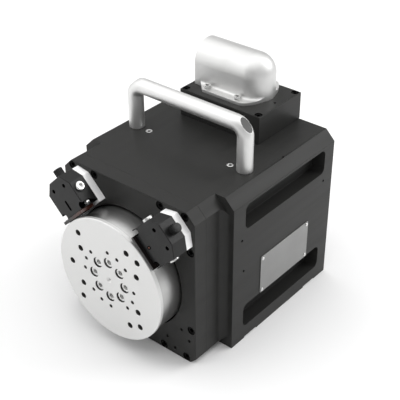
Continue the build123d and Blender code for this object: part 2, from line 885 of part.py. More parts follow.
# Rear bearing shield, held against the jacket by a spring ring
shield_front = jacket_rear
shield_rear = jacket_rear + shield_depth
bearing_seat_rear = rear_bearing_front + rear_bearing_width
with BuildPart() as rear_shield:
    revolve(
        half_section([
            (shield_bore, shield_front), (cavity_radius - seat_gap, shield_front),
            (cavity_radius - seat_gap, shield_rear), (rear_bearing_radius, shield_rear),
            (rear_bearing_radius, rear_bearing_front), (shield_bore, rear_bearing_front),
        ]),
        axis=Axis.Y,
    )
    # Window for the motor leads
    with BuildSketch(facing_front(shield_front)):
        with Locations((0, cavity_radius - shield_window_inset)):
            RectangleRounded(shield_window_length, shield_window_width, shield_window_corner)
    extrude(amount=-shield_depth, mode=Mode.SUBTRACT)
    with Locations(facing_front(shield_rear).rotated((180, 0, 0))):
        with PolarLocations(cap_screw_circle, cap_screw_count):
            Hole(m4_thread, depth=cap_screw_grip + thread_spare)

ring_play = 0.5
with BuildPart() as spring_ring:
    with BuildSketch(facing_front(shield_rear)):
        Circle(ring_groove_radius - ring_play)
        Circle(spring_ring_inner, mode=Mode.SUBTRACT)
        with Locations((0, ring_groove_radius)):
            Rectangle(spring_ring_gap, 3 * (ring_groove_radius - spring_ring_inner), mode=Mode.SUBTRACT)
    extrude(amount=-(ring_groove_width - 2 * thread_play))

roller_gap = running_gap / 2
with BuildPart() as rear_bearing_inner_ring:
    track = rear_pitch_radius - rear_roller_radius - roller_gap
    lip_radius = track + rear_ring_lip
    lip_front = rear_bearing_front + (rear_bearing_width - rear_roller_length) / 2 - roller_gap
    lip_rear = bearing_seat_rear - (rear_bearing_width - rear_roller_length) / 2 + roller_gap
    revolve(
        half_section([
            (rear_journal_radius + seat_gap, rear_bearing_front), (lip_radius, rear_bearing_front),
            (lip_radius, lip_front), (track, lip_front), (track, lip_rear), (lip_radius, lip_rear),
            (lip_radius, bearing_seat_rear), (rear_journal_radius + seat_gap, bearing_seat_rear),
        ]),
        axis=Axis.Y,
    )
with BuildPart() as rear_bearing_outer_ring:
    revolve(
        half_section([
            (rear_pitch_radius + rear_roller_radius + roller_gap, rear_bearing_front),
            (rear_bearing_radius - seat_gap, rear_bearing_front),
            (rear_bearing_radius - seat_gap, bearing_seat_rear),
            (rear_pitch_radius + rear_roller_radius + roller_gap, bearing_seat_rear),
        ]),
        axis=Axis.Y,
    )
with BuildPart() as rear_bearing_rollers:
    with Locations(facing_front(rear_bearing_front + rear_bearing_width / 2)):
        with PolarLocations(rear_pitch_radius, rear_rollers):
            Cylinder(rear_roller_radius, rear_roller_length)
with BuildPart() as rear_bearing_cage:
    with BuildSketch(facing_front(rear_bearing_front + cage_half)):
        Circle(rear_pitch_radius + cage_half)
        Circle(rear_pitch_radius - cage_half, mode=Mode.SUBTRACT)
    extrude(amount=-(rear_bearing_width - 2 * cage_half))
    with Locations(facing_front(rear_bearing_front + rear_bearing_width / 2)):
        with PolarLocations(rear_pitch_radius, rear_rollers):
            Cylinder(
                rear_roller_radius + cage_play, rear_roller_length + 2 * cage_play,
                mode=Mode.SUBTRACT,
            )

with BuildPart() as rear_nut:
    revolve(
        half_section([
            (rear_journal_radius + seat_gap, bearing_seat_rear), (rear_nut_radius, bearing_seat_rear),
            (rear_nut_radius, bearing_seat_rear + rear_nut_width),
            (rear_journal_radius + seat_gap, bearing_seat_rear + rear_nut_width),
        ]),
        axis=Axis.Y,
    )
    with BuildSketch(facing_front(bearing_seat_rear + rear_nut_width)):
        with PolarLocations(rear_nut_radius, 4):
            Rectangle(2 * rear_nut_slot_depth, rear_nut_slot_width)
    extrude(amount=rear_nut_slot_length, mode=Mode.SUBTRACT)

with BuildPart() as rear_bearing_cap:
    with BuildSketch(facing_front(bearing_seat_rear)):
        Circle(cap_radius)
        Circle(cap_bore, mode=Mode.SUBTRACT)
    extrude(amount=-cap_thickness)
    with Locations(facing_front(bearing_seat_rear)):
        with PolarLocations(cap_screw_circle, cap_screw_count):
            Hole(m4_clear)
with BuildPart() as bearing_cap_screws:
    with Locations(facing_front(bearing_seat_rear + cap_thickness)):
        with PolarLocations(cap_screw_circle, cap_screw_count):
            Cylinder(m4_head_radius, m4_head, align=(Align.CENTER, Align.CENTER, Align.MAX))
            Cylinder(
                m4_shank, cap_thickness + cap_screw_grip,
                align=(Align.CENTER, Align.CENTER, Align.MIN),
            )

# Round rear plate, sunk flush into the back of the body
with BuildPart() as rear_plate:
    with BuildSketch(facing_front(body_rear - rear_plate_depth)):
        Circle(rear_plate_radius - hole_play)
    extrude(amount=-rear_plate_depth)
    chamfer(rear_plate.edges().group_by(Axis.Y)[-1], rear_plate_chamfer)
    with Locations(Plane(origin=(0, body_rear, 0), x_dir=(1, 0, 0), z_dir=(0, 1, 0))):
        with PolarLocations(rear_screw_circle, rear_screw_count, start_angle=rear_screw_angle):
            CounterSinkHole(m4_clear, rear_sink_radius, counter_sink_angle=90)

with BuildPart() as rear_plate_screws:
    with Locations(facing_front(body_rear)):
        with PolarLocations(rear_screw_circle, rear_screw_count, start_angle=-rear_screw_angle):
            Cylinder(
                m4_shank, rear_plate_depth + rear_screw_grip,
                align=(Align.CENTER, Align.CENTER, Align.MIN),
            )
            Cone(
                m4_shank + flat_head, m4_shank, flat_head,
                align=(Align.CENTER, Align.CENTER, Align.MIN),
            )
    with BuildSketch(facing_front(body_rear)):
        with PolarLocations(rear_screw_circle, rear_screw_count, start_angle=-rear_screw_angle):
            RegularPolygon(rear_key, 6)
    extrude(amount=rear_key, mode=Mode.SUBTRACT)

# Box on top that takes the motor and encoder leads, with its flat gasket
with BuildPart() as box_gasket:
    with BuildSketch(Plane.XY.offset(body_top)):
        with Locations((0, box_middle)):
            Rectangle(2 * (box_half_width - gasket_margin), box_length - 2 * gasket_margin)
            Rectangle(2 * (box_half_width - box_wall), box_length - 2 * box_wall, mode=Mode.SUBTRACT)
        with Locations(*box_screw_places):
            Circle(m5_clear, mode=Mode.SUBTRACT)
    extrude(amount=gasket_thickness)

box_base = body_top + gasket_thickness
elbow_screw_places = []
for screw_x in elbow_screw_x:
    for level in (-1, 1):
        elbow_screw_places.append((screw_x, elbow_y + level * (flange_half - elbow_screw_inset)))
with BuildPart() as junction_box:
    with BuildSketch(Plane.XY.offset(box_base)):
        with Locations((0, box_middle)):
            Rectangle(2 * box_half_width, box_length)
    extrude(amount=box_top - box_base)
    chamfer(junction_box.faces().sort_by(Axis.Z)[-1].edges(), edge_break)
    with BuildSketch(Plane.XY.offset(box_base)):
        with Locations((0, box_middle)):
            RectangleRounded(
                2 * (box_half_width - box_wall), box_length - 2 * box_wall, box_corner
            )
    extrude(amount=box_top - box_roof - box_base, mode=Mode.SUBTRACT)
    with BuildSketch(Plane.XY.offset(box_top)):
        with Locations((0, elbow_y)):
            RectangleRounded(throat_length, throat_width, box_corner)
    extrude(amount=-box_roof, mode=Mode.SUBTRACT)
    with Locations(Plane.XY.offset(box_top)):
        with Locations(*box_screw_places):
            CounterBoreHole(m5_clear, box_sink_radius, box_sink_depth)
        with Locations(*elbow_screw_places):
            Hole(m5_thread, depth=elbow_screw_grip + 1.0)
        with Locations((box_half_width - 8.5, elbow_y - 5.5)):
            Hole(mark_hole, depth=mark_hole_depth)

with BuildPart() as box_screws:
    with BuildSketch(Plane.XY.offset(box_top - box_sink_depth)):
        with Locations(*box_screw_places):
            Circle(m5_head_radius)
    extrude(amount=m5_head)
    with BuildSketch(Plane.XY.offset(box_top - box_sink_depth + m5_head)):
        with Locations(*box_screw_places):
            RegularPolygon(m5_key, 6)
    extrude(amount=-m5_key_depth, mode=Mode.SUBTRACT)
    with BuildSketch(Plane.XY.offset(box_top - box_sink_depth)):
        with Locations(*box_screw_places):
            Circle(m5_shank)
    extrude(amount=-(box_top - box_sink_depth - body_top + box_screw_grip))

# Cast elbow: a hollow arch with a round closed end, standing on a flange, open to the left
elbow_length = elbow_end_x - elbow_mouth_x
flange_level = box_top + flange_thickness


def arch(radius, start_x, base_z):
    """Section across the elbow: straight sides that end in a half circle."""
    with BuildSketch(Plane(origin=(start_x, elbow_y, 0), x_dir=(0, 1, 0), z_dir=(1, 0, 0))) as drawn:
        with Locations((0, elbow_axis_z)):
            Circle(radius)
            Rectangle(2 * radius, elbow_axis_z - base_z, align=(Align.CENTER, Align.MAX))
    return drawn.sketch


def dome(radius, base_z):
    """Half section of the round end: a wall that ends in a quarter circle."""
    section_plane = Plane(origin=(elbow_end_x, elbow_y, 0), x_dir=(1, 0, 0), z_dir=front_normal)
    with BuildSketch(section_plane) as drawn:
        with BuildLine():
            wall = Line((radius, base_z), (radius, elbow_axis_z))
            cap = CenterArc((0, elbow_axis_z), radius, 0, 90)
            Polyline(cap @ 1, (0, base_z), wall @ 0)
        make_face()
    return drawn.sketch


elbow_post = Axis((elbow_end_x, elbow_y, 0), (0, 0, 1))
elbow_inner = elbow_radius - elbow_wall
with BuildPart() as cable_elbow:
    with BuildSketch(Plane.XY.offset(box_top)) as flange_shape:
        with Locations((flange_arc_x, elbow_y)):
            Circle(flange_arc_radius)
        with BuildSketch(mode=Mode.INTERSECT):
            with BuildLine():
                Polyline(
                    (flange_left, elbow_y - flange_half + flange_bevel),
                    (flange_left + flange_bevel, elbow_y - flange_half),
                    (box_half_width, elbow_y - flange_half),
                    (box_half_width, elbow_y + flange_half),
                    (flange_left + flange_bevel, elbow_y + flange_half),
                    (flange_left, elbow_y + flange_half - flange_bevel),
                    close=True,
                )
            make_face()
        fillet(flange_shape.vertices().group_by(Axis.X)[-1], flange_corner)
    extrude(amount=flange_thickness)
    extrude(arch(elbow_radius, elbow_mouth_x, box_top), amount=elbow_length)
    revolve(dome(elbow_radius, box_top), axis=elbow_post)
    root_edges = [
        edge
        for edge in cable_elbow.edges().filter_by_position(Axis.Z, flange_level, flange_level)
        if max(abs(edge.position_at(t).Y - elbow_y) for t in (0, 0.5, 1)) < elbow_radius + 0.01
    ]
    fillet(root_edges, root_radius)
    extrude(arch(elbow_inner, elbow_mouth_x, box_top), amount=elbow_length, mode=Mode.SUBTRACT)
    revolve(dome(elbow_inner, box_top), axis=elbow_post, mode=Mode.SUBTRACT)
    with BuildSketch(Plane.XY.offset(flange_level)):
        with Locations(*elbow_screw_places):
            Circle(spot_face_radius)
    extrude(amount=2 * root_radius, mode=Mode.SUBTRACT)
    with Locations(Plane.XY.offset(flange_level)):
        with Locations(*elbow_screw_places):
            Hole(m5_clear)

head_bevel = 0.4
with BuildPart() as elbow_screws:
    with BuildSketch(Plane.XY.offset(flange_level)):
        with Locations(*elbow_screw_places):
            Circle(m5_head_radius)
    extrude(amount=m5_head)
    chamfer(elbow_screws.edges().group_by(Axis.Z)[-1], head_bevel)
    with BuildSketch(Plane.XY.offset(flange_level + m5_head)):
        with Locations(*elbow_screw_places):
            RegularPolygon(m5_key, 6)
    extrude(amount=-m5_key_depth, mode=Mode.SUBTRACT)
    with BuildSketch(Plane.XY.offset(flange_level)):
        with Locations(*elbow_screw_places):
            Circle(m5_shank)
    extrude(amount=-(flange_thickness + elbow_screw_grip))

# Grab handle: round bar with tight bends, each bend flattened on its outer corner
with BuildPart() as handle:
    with BuildLine():
        FilletPolyline(
            (-handle_x, handle_y, body_top), (-handle_x, handle_y, handle_z),
            (handle_x, handle_y, handle_z), (handle_x, handle_y, body_top),
            radius=bar_bend,
        )
    with BuildSketch(Plane(origin=(-handle_x, handle_y, body_top), z_dir=(0, 0, 1))):
        Circle(bar_radius)
    sweep()
    facet_distance = bar_bend + bar_radius - corner_cut
    for side, turn in ((1, -45), (-1, -135)):
        facet_x = side * (handle_x - bar_bend + (facet_distance + bar_radius) * diagonal)
        facet_z = handle_z - bar_bend + (facet_distance + bar_radius) * diagonal
        with Locations(Location((facet_x, handle_y, facet_z), (0, turn, 0))):
            Box(2 * bar_radius, 3 * bar_radius, 4 * bar_radius, mode=Mode.SUBTRACT)
    with Locations(Plane(origin=(0, 0, body_top), x_dir=(1, 0, 0), z_dir=(0, 0, -1))):
        with Locations((-handle_x, -handle_y), (handle_x, -handle_y)):
            Hole(stud_radius, depth=stud_in_handle + thread_spare)

with BuildPart() as handle_studs:
    with BuildSketch(Plane.XY.offset(body_top - stud_in_body)):
        with Locations(*handle_places):
            Circle(stud_radius - thread_play)
    extrude(amount=stud_in_body + stud_in_handle)
    chamfer(handle_studs.edges().filter_by(GeomType.CIRCLE), stud_radius / 5)

# Two small flat-headed screws that close the lifting threads in the top
with BuildPart() as top_screws:
    with Locations(Plane(origin=(0, 0, body_top), x_dir=(1, 0, 0), z_dir=(0, 0, -1))):
        with Locations((-top_screw_x, -top_screw_y), (top_screw_x, -top_screw_y)):
            Cylinder(m6_shank, top_screw_length, align=(Align.CENTER, Align.CENTER, Align.MIN))
            Cone(
                top_sink_radius - thread_play, m6_shank, top_screw_head,
                align=(Align.CENTER, Align.CENTER, Align.MIN),
            )
    with BuildSketch(Plane.XY.offset(body_top)):
        with Locations(*top_screw_places):
            RegularPolygon(top_key, 6)
    extrude(amount=-top_key, mode=Mode.SUBTRACT)

# Nameplate, left blank, held by four rivets
label_middle = ((label_front + label_rear) / 2, (label_base + label_top) / 2)
side_face = Plane(origin=(pad_half_width, 0, 0), x_dir=(0, 1, 0), z_dir=(1, 0, 0))
with BuildPart() as nameplate:
    with BuildSketch(side_face):
        with Locations(label_middle):
            RectangleRounded(label_rear - label_front, label_top - label_base, label_corner)
        with Locations(*rivet_places):
            Circle(rivet_hole, mode=Mode.SUBTRACT)
    extrude(amount=label_thickness)
with BuildPart() as nameplate_rivets:
    with BuildSketch(side_face.offset(label_thickness)):
        with Locations(*rivet_places):
            Circle(rivet_head_radius)
    extrude(amount=rivet_head)
    chamfer(nameplate_rivets.edges().group_by(Axis.X)[-1], rivet_head / 2)
    with BuildSketch(side_face.offset(label_thickness)):
        with Locations(*rivet_places):
            Circle(rivet_radius)
    extrude(amount=-(label_thickness + rivet_length))

# Scanning heads: a black body on a white spacer, with a scanning block close to the drum
head_points = [
    (head_inner, head_low), (low_corner[0], head_low), (head_outer, low_corner[1]),
    (head_outer, high_corner[1]), (high_corner[0], head_high), (head_inner, head_high),
]
spacer_points = [(spacer_inner, head_low)] + head_points[1:5] + [(spacer_inner, head_high)]
head_screw_places = [
    (head_screw_out, head_low + head_screw_inset), (head_screw_out, head_high - head_screw_inset),
]


def across_head(sideways, normal):
    """Plane on one side of the right head; its x runs outward, its y along the spindle axis."""
    return Plane(
        origin=(-sideways * diagonal, 0, sideways * diagonal),
        x_dir=(diagonal, 0, diagonal),
        z_dir=(-normal * diagonal, 0, normal * diagonal),
    )


with BuildPart() as right_head_body:
    extrude(outline(head_plane(head_front), head_points), amount=-(spacer_front - head_front))
    chamfer(right_head_body.faces().sort_by(Axis.Y)[0].edges(), edge_break)
    with Locations(head_plane(head_front)):
        with Locations(*head_screw_places):
            Hole(head_sink_radius, depth=head_seat - head_front)
            Hole(m4_clear)
        with Locations(*front_socket_places):
            Hole(front_socket_radius, depth=front_socket_depth)
    for sideways, normal in ((head_high, 1), (head_low, -1)):
        with Locations(across_head(sideways, normal)):
            with Locations((side_screw_out, normal * side_screw_y)):
                Hole(m8_thread, depth=side_hole_depth)
    outer_face = Plane(
        origin=(head_outer * diagonal, 0, head_outer * diagonal),
        x_dir=(0, 1, 0),
        z_dir=(diagonal, 0, diagonal),
    )
    with Locations(outer_face):
        with Locations((knob_y, knob_sideways)):
            Hole(m8_thread, depth=knob_hole_depth)
with BuildPart() as left_head_body:
    mirror(right_head_body.part, about=Plane.YZ)

with BuildPart() as right_head_spacer:
    extrude(outline(head_plane(spacer_front), spacer_points), amount=-(cover_front - spacer_front))
    with Locations(head_plane(spacer_front)):
        with Locations(*head_screw_places):
            Hole(m4_clear)
with BuildPart() as left_head_spacer:
    mirror(right_head_spacer.part, about=Plane.YZ)

with BuildPart() as right_scan_block:
    with BuildSketch(head_plane(window_front)):
        with Locations(((window_inner + head_inner) / 2, (window_low + window_high) / 2)):
            Rectangle(head_inner - window_inner, window_high - window_low)
    extrude(amount=-(window_rear - window_front))
    chamfer(right_scan_block.faces().sort_by(Axis.Y)[0].edges(), window_chamfer)
with BuildPart() as left_scan_block:
    mirror(right_scan_block.part, about=Plane.YZ)

with BuildPart() as head_mount_screws:
    with BuildSketch(head_plane(head_seat - m4_head)):
        with Locations(*head_screw_places):
            Circle(m4_head_radius)
    extrude(amount=-m4_head)
    with BuildSketch(head_plane(head_seat - m4_head)):
        with Locations(*head_screw_places):
            RegularPolygon(m4_key, 6)
    extrude(amount=-m4_head / 2, mode=Mode.SUBTRACT)
    with BuildSketch(head_plane(head_seat)):
        with Locations(*head_screw_places):
            Circle(m4_shank)
    extrude(amount=-(cover_front - head_seat + head_screw_grip))
    mirror(about=Plane.YZ)

with BuildPart() as head_side_screws:
    for sideways, normal, height in zip((head_high, head_low), (1, -1), side_screw_heights):
        with BuildSketch(across_head(sideways, normal)):
            with Locations((side_screw_out, normal * side_screw_y)):
                Circle(side_screw_radius)
        extrude(amount=height)
        with BuildSketch(across_head(sideways, normal).offset(height)):
            with Locations((side_screw_out, normal * side_screw_y)):
                RegularPolygon(m6_key, 6)
        extrude(amount=-side_key_depth, mode=Mode.SUBTRACT)
        with BuildSketch(across_head(sideways, normal)):
            with Locations((side_screw_out, normal * side_screw_y)):
                Circle(m8_shank)
        extrude(amount=-(side_hole_depth - thread_spare))
    mirror(about=Plane.YZ)

with BuildPart() as head_caps:
    with BuildSketch(outer_face):
        with Locations((knob_y, knob_sideways)):
            Circle(knob_radius)
    extrude(amount=knob_length)
    chamfer(head_caps.edges().sort_by(Axis.X)[-1], knob_chamfer)
    with BuildSketch(outer_face):
        with Locations((knob_y, knob_sideways)):
            Circle(m8_shank)
    extrude(amount=-(knob_hole_depth - 1.0))
    mirror(about=Plane.YZ)

parts = {
    "faceplate": faceplate,
    "faceplate_screws": faceplate_screws,
    "graduated_drum": graduated_drum,
    "drum_screws": drum_screws,
    "spindle": spindle,
    "front_bearing_inner_ring": front_bearing_inner_ring,
    "front_bearing_outer_ring": front_bearing_outer_ring,
    "front_bearing_rollers": front_bearing_rollers,
    "bearing_nut": bearing_nut,
    "shaft_seal": shaft_seal,
    "front_cover": front_cover,
    "cover_screws": cover_screws,
    "housing": housing,
    "cooling_jacket": cooling_jacket,
    "jacket_seal_rings": jacket_seal_rings,
    "stator_stack": stator_stack,
    "stator_coils": stator_coils,
    "rotor_ring": rotor_ring,
    "rotor_magnets": rotor_magnets,
    "rear_shield": rear_shield,
    "spring_ring": spring_ring,
    "rear_bearing_inner_ring": rear_bearing_inner_ring,
    "rear_bearing_outer_ring": rear_bearing_outer_ring,
    "rear_bearing_rollers": rear_bearing_rollers,
    "rear_bearing_cage": rear_bearing_cage,
    "rear_nut": rear_nut,
    "rear_bearing_cap": rear_bearing_cap,
    "bearing_cap_screws": bearing_cap_screws,
    "rear_plate": rear_plate,
    "rear_plate_screws": rear_plate_screws,
    "box_gasket": box_gasket,
    "junction_box": junction_box,
    "box_screws": box_screws,
    "cable_elbow": cable_elbow,
    "elbow_screws": elbow_screws,
    "handle": handle,
    "handle_studs": handle_studs,
    "top_screws": top_screws,
    "nameplate": nameplate,
    "nameplate_rivets": nameplate_rivets,
    "right_head_body": right_head_body,
    "left_head_body": left_head_body,
    "right_head_spacer": right_head_spacer,
    "left_head_spacer": left_head_spacer,
    "right_scan_block": right_scan_block,
    "left_scan_block": left_scan_block,
    "head_mount_screws": head_mount_screws,
    "head_side_screws": head_side_screws,
    "head_caps": head_caps,
}
for name, built in parts.items():
    built.part.label = name
    export_step(built.part, f"parts/{name}.step")
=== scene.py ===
# %% [markdown]
# Torque motor rotary table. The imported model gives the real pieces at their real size; this lesson
# dresses them. The black body, the box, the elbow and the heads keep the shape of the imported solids
# and get softened edges, because a real machined edge is never a perfect line. The turned and bent
# pieces, such as the faceplate, the drum, the handle, the caps and the bright screws, are computed
# again as smooth surfaces.

import json
import math

import bmesh
import bpy
import numpy as np
from mathutils import Matrix, Vector
from mathutils.geometry import delaunay_2d_cdt


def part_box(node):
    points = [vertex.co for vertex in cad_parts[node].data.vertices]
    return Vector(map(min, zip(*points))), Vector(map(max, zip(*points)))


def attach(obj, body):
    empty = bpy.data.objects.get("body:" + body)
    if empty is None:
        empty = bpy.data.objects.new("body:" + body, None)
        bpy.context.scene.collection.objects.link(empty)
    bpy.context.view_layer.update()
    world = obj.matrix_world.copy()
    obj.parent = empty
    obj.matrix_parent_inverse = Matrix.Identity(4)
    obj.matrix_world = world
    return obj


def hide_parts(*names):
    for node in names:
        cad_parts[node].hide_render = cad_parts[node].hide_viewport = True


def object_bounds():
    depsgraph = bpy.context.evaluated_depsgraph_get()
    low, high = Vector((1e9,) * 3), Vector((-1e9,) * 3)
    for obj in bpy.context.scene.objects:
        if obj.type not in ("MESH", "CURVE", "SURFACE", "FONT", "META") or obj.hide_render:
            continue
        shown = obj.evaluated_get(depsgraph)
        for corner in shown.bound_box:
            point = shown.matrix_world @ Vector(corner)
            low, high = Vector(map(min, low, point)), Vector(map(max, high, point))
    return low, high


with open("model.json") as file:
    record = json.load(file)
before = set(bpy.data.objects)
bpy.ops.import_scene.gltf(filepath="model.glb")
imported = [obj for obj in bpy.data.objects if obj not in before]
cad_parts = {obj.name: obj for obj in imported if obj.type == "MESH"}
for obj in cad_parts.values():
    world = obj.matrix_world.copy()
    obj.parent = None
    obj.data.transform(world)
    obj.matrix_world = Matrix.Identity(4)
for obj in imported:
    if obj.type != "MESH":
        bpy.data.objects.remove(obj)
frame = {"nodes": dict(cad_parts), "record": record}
cad_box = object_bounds()
nodes = frame["nodes"]
MM = 0.001
print("nodes", len(nodes), "box", [[round(v, 4) for v in corner] for corner in cad_box])

# %% [markdown]
# The camera stands where the photographer's did. Its direction is given the way a tripod gives it,
# by a turn, a tilt and a slight roll, and its matrix is put together from those three angles. The
# picture is shown with the plain Standard transform, because the black body and the bright metal of
# a product picture need its full contrast.

# %% Camera
camera_turn = math.radians(39.775)
camera_tilt = math.radians(33.424)
camera_roll = math.radians(-0.264)
camera_place = Vector((651.4, -613.25, 700.3)) * MM
camera_lens = 85.11


def camera_matrix(turn, tilt, roll, place):
    """Rotation whose third column points from the object to the camera, then the place."""
    back = Vector((
        math.sin(turn) * math.cos(tilt), -math.cos(turn) * math.cos(tilt), math.sin(tilt),
    ))
    right = Vector((0, 0, 1)).cross(back).normalized()
    up = back.cross(right)
    rolled_right = right * math.cos(roll) + up * math.sin(roll)
    rolled_up = up * math.cos(roll) - right * math.sin(roll)
    turned = Matrix((rolled_right, rolled_up, back)).transposed().to_4x4()
    return Matrix.Translation(place) @ turned


camera = bpy.data.objects.new("camera", bpy.data.cameras.new("camera"))
camera.data.lens = camera_lens
camera.data.sensor_width = 36.0
camera.data.shift_x = 0.0013
camera.data.shift_y = -0.0006
camera.data.clip_end = 20.0
camera.matrix_world = camera_matrix(camera_turn, camera_tilt, camera_roll, camera_place)
bpy.context.scene.collection.objects.link(camera)
bpy.context.scene.camera = camera
bpy.context.scene.view_settings.view_transform = "Standard"
print("camera", [round(v, 3) for v in camera_place])

# %% [markdown]
# A product picture wants a bright, even room. The floor is one large sheet that curves up far behind
# the object, and four big soft lamps stand round it: one above, one to the left, a very weak one to
# the right, and one behind on the right. The last one is seen in the long chamfers of the body, so
# that they stand out from the flat black faces beside them.

# %% Studio
floor_z = cad_box[0][2]


def grid_mesh(name, points, wrap_u=False, wrap_v=False):
    """Mesh over a grid of points (rows u, columns v); a wrapped direction closes on itself."""
    rows, columns = points.shape[:2]
    u = np.arange(rows if wrap_u else rows - 1)
    v = np.arange(columns if wrap_v else columns - 1)
    uu, vv = np.meshgrid(u, v, indexing="ij")
    next_u = (uu + 1) % rows
    next_v = (vv + 1) % columns
    faces = np.stack(
        [uu * columns + vv, next_u * columns + vv, next_u * columns + next_v, uu * columns + next_v],
        axis=-1,
    ).reshape(-1, 4)
    mesh = bpy.data.meshes.new(name)
    mesh.from_pydata(points.reshape(-1, 3).tolist(), [], faces.tolist())
    mesh.update()
    return mesh


def add_object(name, mesh, material=None):
    """Link a mesh as an object at the origin, with one material."""
    made = bpy.data.objects.new(name, mesh)
    bpy.context.scene.collection.objects.link(made)
    if material:
        mesh.materials.clear()
        mesh.materials.append(material)
    return made


def studio_floor():
    """Floor with a back wall: along the bend, s = reach + R sin t and z = R (1 - cos t)."""
    reach = 3.2
    bend = 0.8
    wall_top = 4.0
    half_width = 4.5
    flat = np.linspace(-reach, reach, 40)
    bent = np.linspace(0, math.pi / 2, 24)[1:]
    along = np.concatenate([flat, reach + bend * np.sin(bent), [reach + bend]])
    height = np.concatenate([np.zeros(len(flat)), bend * (1 - np.cos(bent)), [wall_top]])
    across = np.linspace(-half_width, half_width, 10)
    a, s = np.meshgrid(across, np.arange(len(along)))
    x = a * math.cos(camera_turn) - along[s] * math.sin(camera_turn)
    y = a * math.sin(camera_turn) + along[s] * math.cos(camera_turn)
    z = height[s] + floor_z
    return np.stack([x, y, z], axis=-1)


def soft_lamp(name, place, target, size, power):
    """Square area lamp that looks at a target point."""
    lamp = bpy.data.lights.new(name, "AREA")
    lamp.shape = "SQUARE"
    lamp.size = size
    lamp.energy = power
    holder = bpy.data.objects.new(name, lamp)
    holder.location = place
    aim = Vector(target) - Vector(place)
    holder.rotation_euler = aim.to_track_quat("-Z", "Y").to_euler()
    bpy.context.scene.collection.objects.link(holder)


floor_paint = bpy.data.materials.new("studio_floor")
floor_paint.use_nodes = True
floor_shader = floor_paint.node_tree.nodes["Principled BSDF"]
floor_shader.inputs["Base Color"].default_value = (0.93, 0.93, 0.93, 1)
floor_shader.inputs["Roughness"].default_value = 0.9
floor = add_object("studio_floor", grid_mesh("studio_floor", studio_floor()), floor_paint)
floor.data.shade_smooth()

middle = (0.0, 0.15, 0.03)
lamps = (
    ("lamp_above", (-0.2, 0.1, 1.7), 2.7, 27.0),
    ("lamp_left", (-1.5, -1.0, 0.9), 2.1, 15.0),
    ("lamp_right", (1.7, -0.3, 0.6), 1.4, 0.8),
    ("lamp_back", (1.3, 1.65, 1.35), 1.4, 24.0),
)
for lamp_name, lamp_place, lamp_size, lamp_power in lamps:
    soft_lamp(lamp_name, lamp_place, middle, lamp_size, lamp_power)

world = bpy.context.scene.world or bpy.data.worlds.new("studio")
bpy.context.scene.world = world
world.use_nodes = True
room_light = world.node_tree.nodes["Background"]
room_light.inputs["Color"].default_value = (1.0, 1.0, 1.0, 1)
room_light.inputs["Strength"].default_value = 0.5
print("lamps", len(lamps))

# %% [markdown]
# Finishes. Each is one short function that adds a few nodes to a Principled shader. What makes a
# metal look real is less its colour than how its roughness changes from place to place, so every
# finish carries a faint pattern in its roughness, and most carry one in tone or bump too: turning
# rings, milling streaks, a cast grain or the grain of anodising.

# %% Finishes


def new_finish(name, color, metallic, roughness):
    """Material with a Principled shader; returns it with its tree and shader."""
    material = bpy.data.materials.new(name)
    material.use_nodes = True
    tree = material.node_tree
    shader = tree.nodes["Principled BSDF"]
    shader.inputs["Base Color"].default_value = (*color, 1)
    shader.inputs["Metallic"].default_value = metallic
    shader.inputs["Roughness"].default_value = roughness
    return material, tree, shader


def stretched_noise(tree, scale, stretch, detail=3.0):
    """Noise on object coordinates, scaled along each axis, so that it can be drawn out to streaks."""
    place = tree.nodes.new("ShaderNodeTexCoord")
    mapping = tree.nodes.new("ShaderNodeMapping")
    mapping.inputs["Scale"].default_value = stretch
    noise = tree.nodes.new("ShaderNodeTexNoise")
    noise.inputs["Scale"].default_value = scale
    noise.inputs["Detail"].default_value = detail
    tree.links.new(place.outputs["Object"], mapping.inputs["Vector"])
    tree.links.new(mapping.outputs["Vector"], noise.inputs["Vector"])
    return noise.outputs["Fac"]


def vary_roughness(tree, shader, source, low, high):
    """Roughness runs from low to high with the pattern."""
    spread = tree.nodes.new("ShaderNodeMapRange")
    spread.inputs["From Min"].default_value = 0.3
    spread.inputs["From Max"].default_value = 0.7
    spread.inputs["To Min"].default_value = low
    spread.inputs["To Max"].default_value = high
    tree.links.new(source, spread.inputs["Value"])
    tree.links.new(spread.outputs["Result"], shader.inputs["Roughness"])


def vary_color(tree, shader, source, dark, light):
    """Base colour runs between two tones with the pattern."""
    ramp = tree.nodes.new("ShaderNodeValToRGB")
    ramp.color_ramp.elements[0].position = 0.3
    ramp.color_ramp.elements[1].position = 0.7
    ramp.color_ramp.elements[0].color = (*dark, 1)
    ramp.color_ramp.elements[1].color = (*light, 1)
    tree.links.new(source, ramp.inputs["Fac"])
    tree.links.new(ramp.outputs["Color"], shader.inputs["Base Color"])


def add_bump(tree, shader, source, depth):
    """Bump of a given depth in metres."""
    bump = tree.nodes.new("ShaderNodeBump")
    bump.inputs["Strength"].default_value = 1.0
    bump.inputs["Distance"].default_value = depth
    tree.links.new(source, bump.inputs["Height"])
    tree.links.new(bump.outputs["Normal"], shader.inputs["Normal"])


def black_anodised():
    """Milled aluminium, anodised black: long faint milling streaks under a satin film."""
    material, tree, shader = new_finish("black_anodised", (0.0225, 0.0225, 0.0216), 0.0, 0.42)
    shader.inputs["Specular IOR Level"].default_value = 0.18
    streaks = stretched_noise(tree, 60.0, (1.0, 0.06, 1.0))
    vary_roughness(tree, shader, streaks, 0.34, 0.5)
    vary_color(tree, shader, streaks, (0.0200, 0.0200, 0.0192), (0.0255, 0.0255, 0.0245))
    add_bump(tree, shader, stretched_noise(tree, 900.0, (1.0, 1.0, 1.0)), 0.00001)
    return material


def satin_aluminium(name, tone, low, high):
    """Fine satin aluminium with soft clouding and a very fine grain."""
    material, tree, shader = new_finish(name, (tone, tone, tone * 0.99), 1.0, 0.3)
    vary_roughness(tree, shader, stretched_noise(tree, 35.0, (1, 1, 1)), low, high)
    add_bump(tree, shader, stretched_noise(tree, 1500.0, (1, 1, 1)), 0.0000015)
    return material


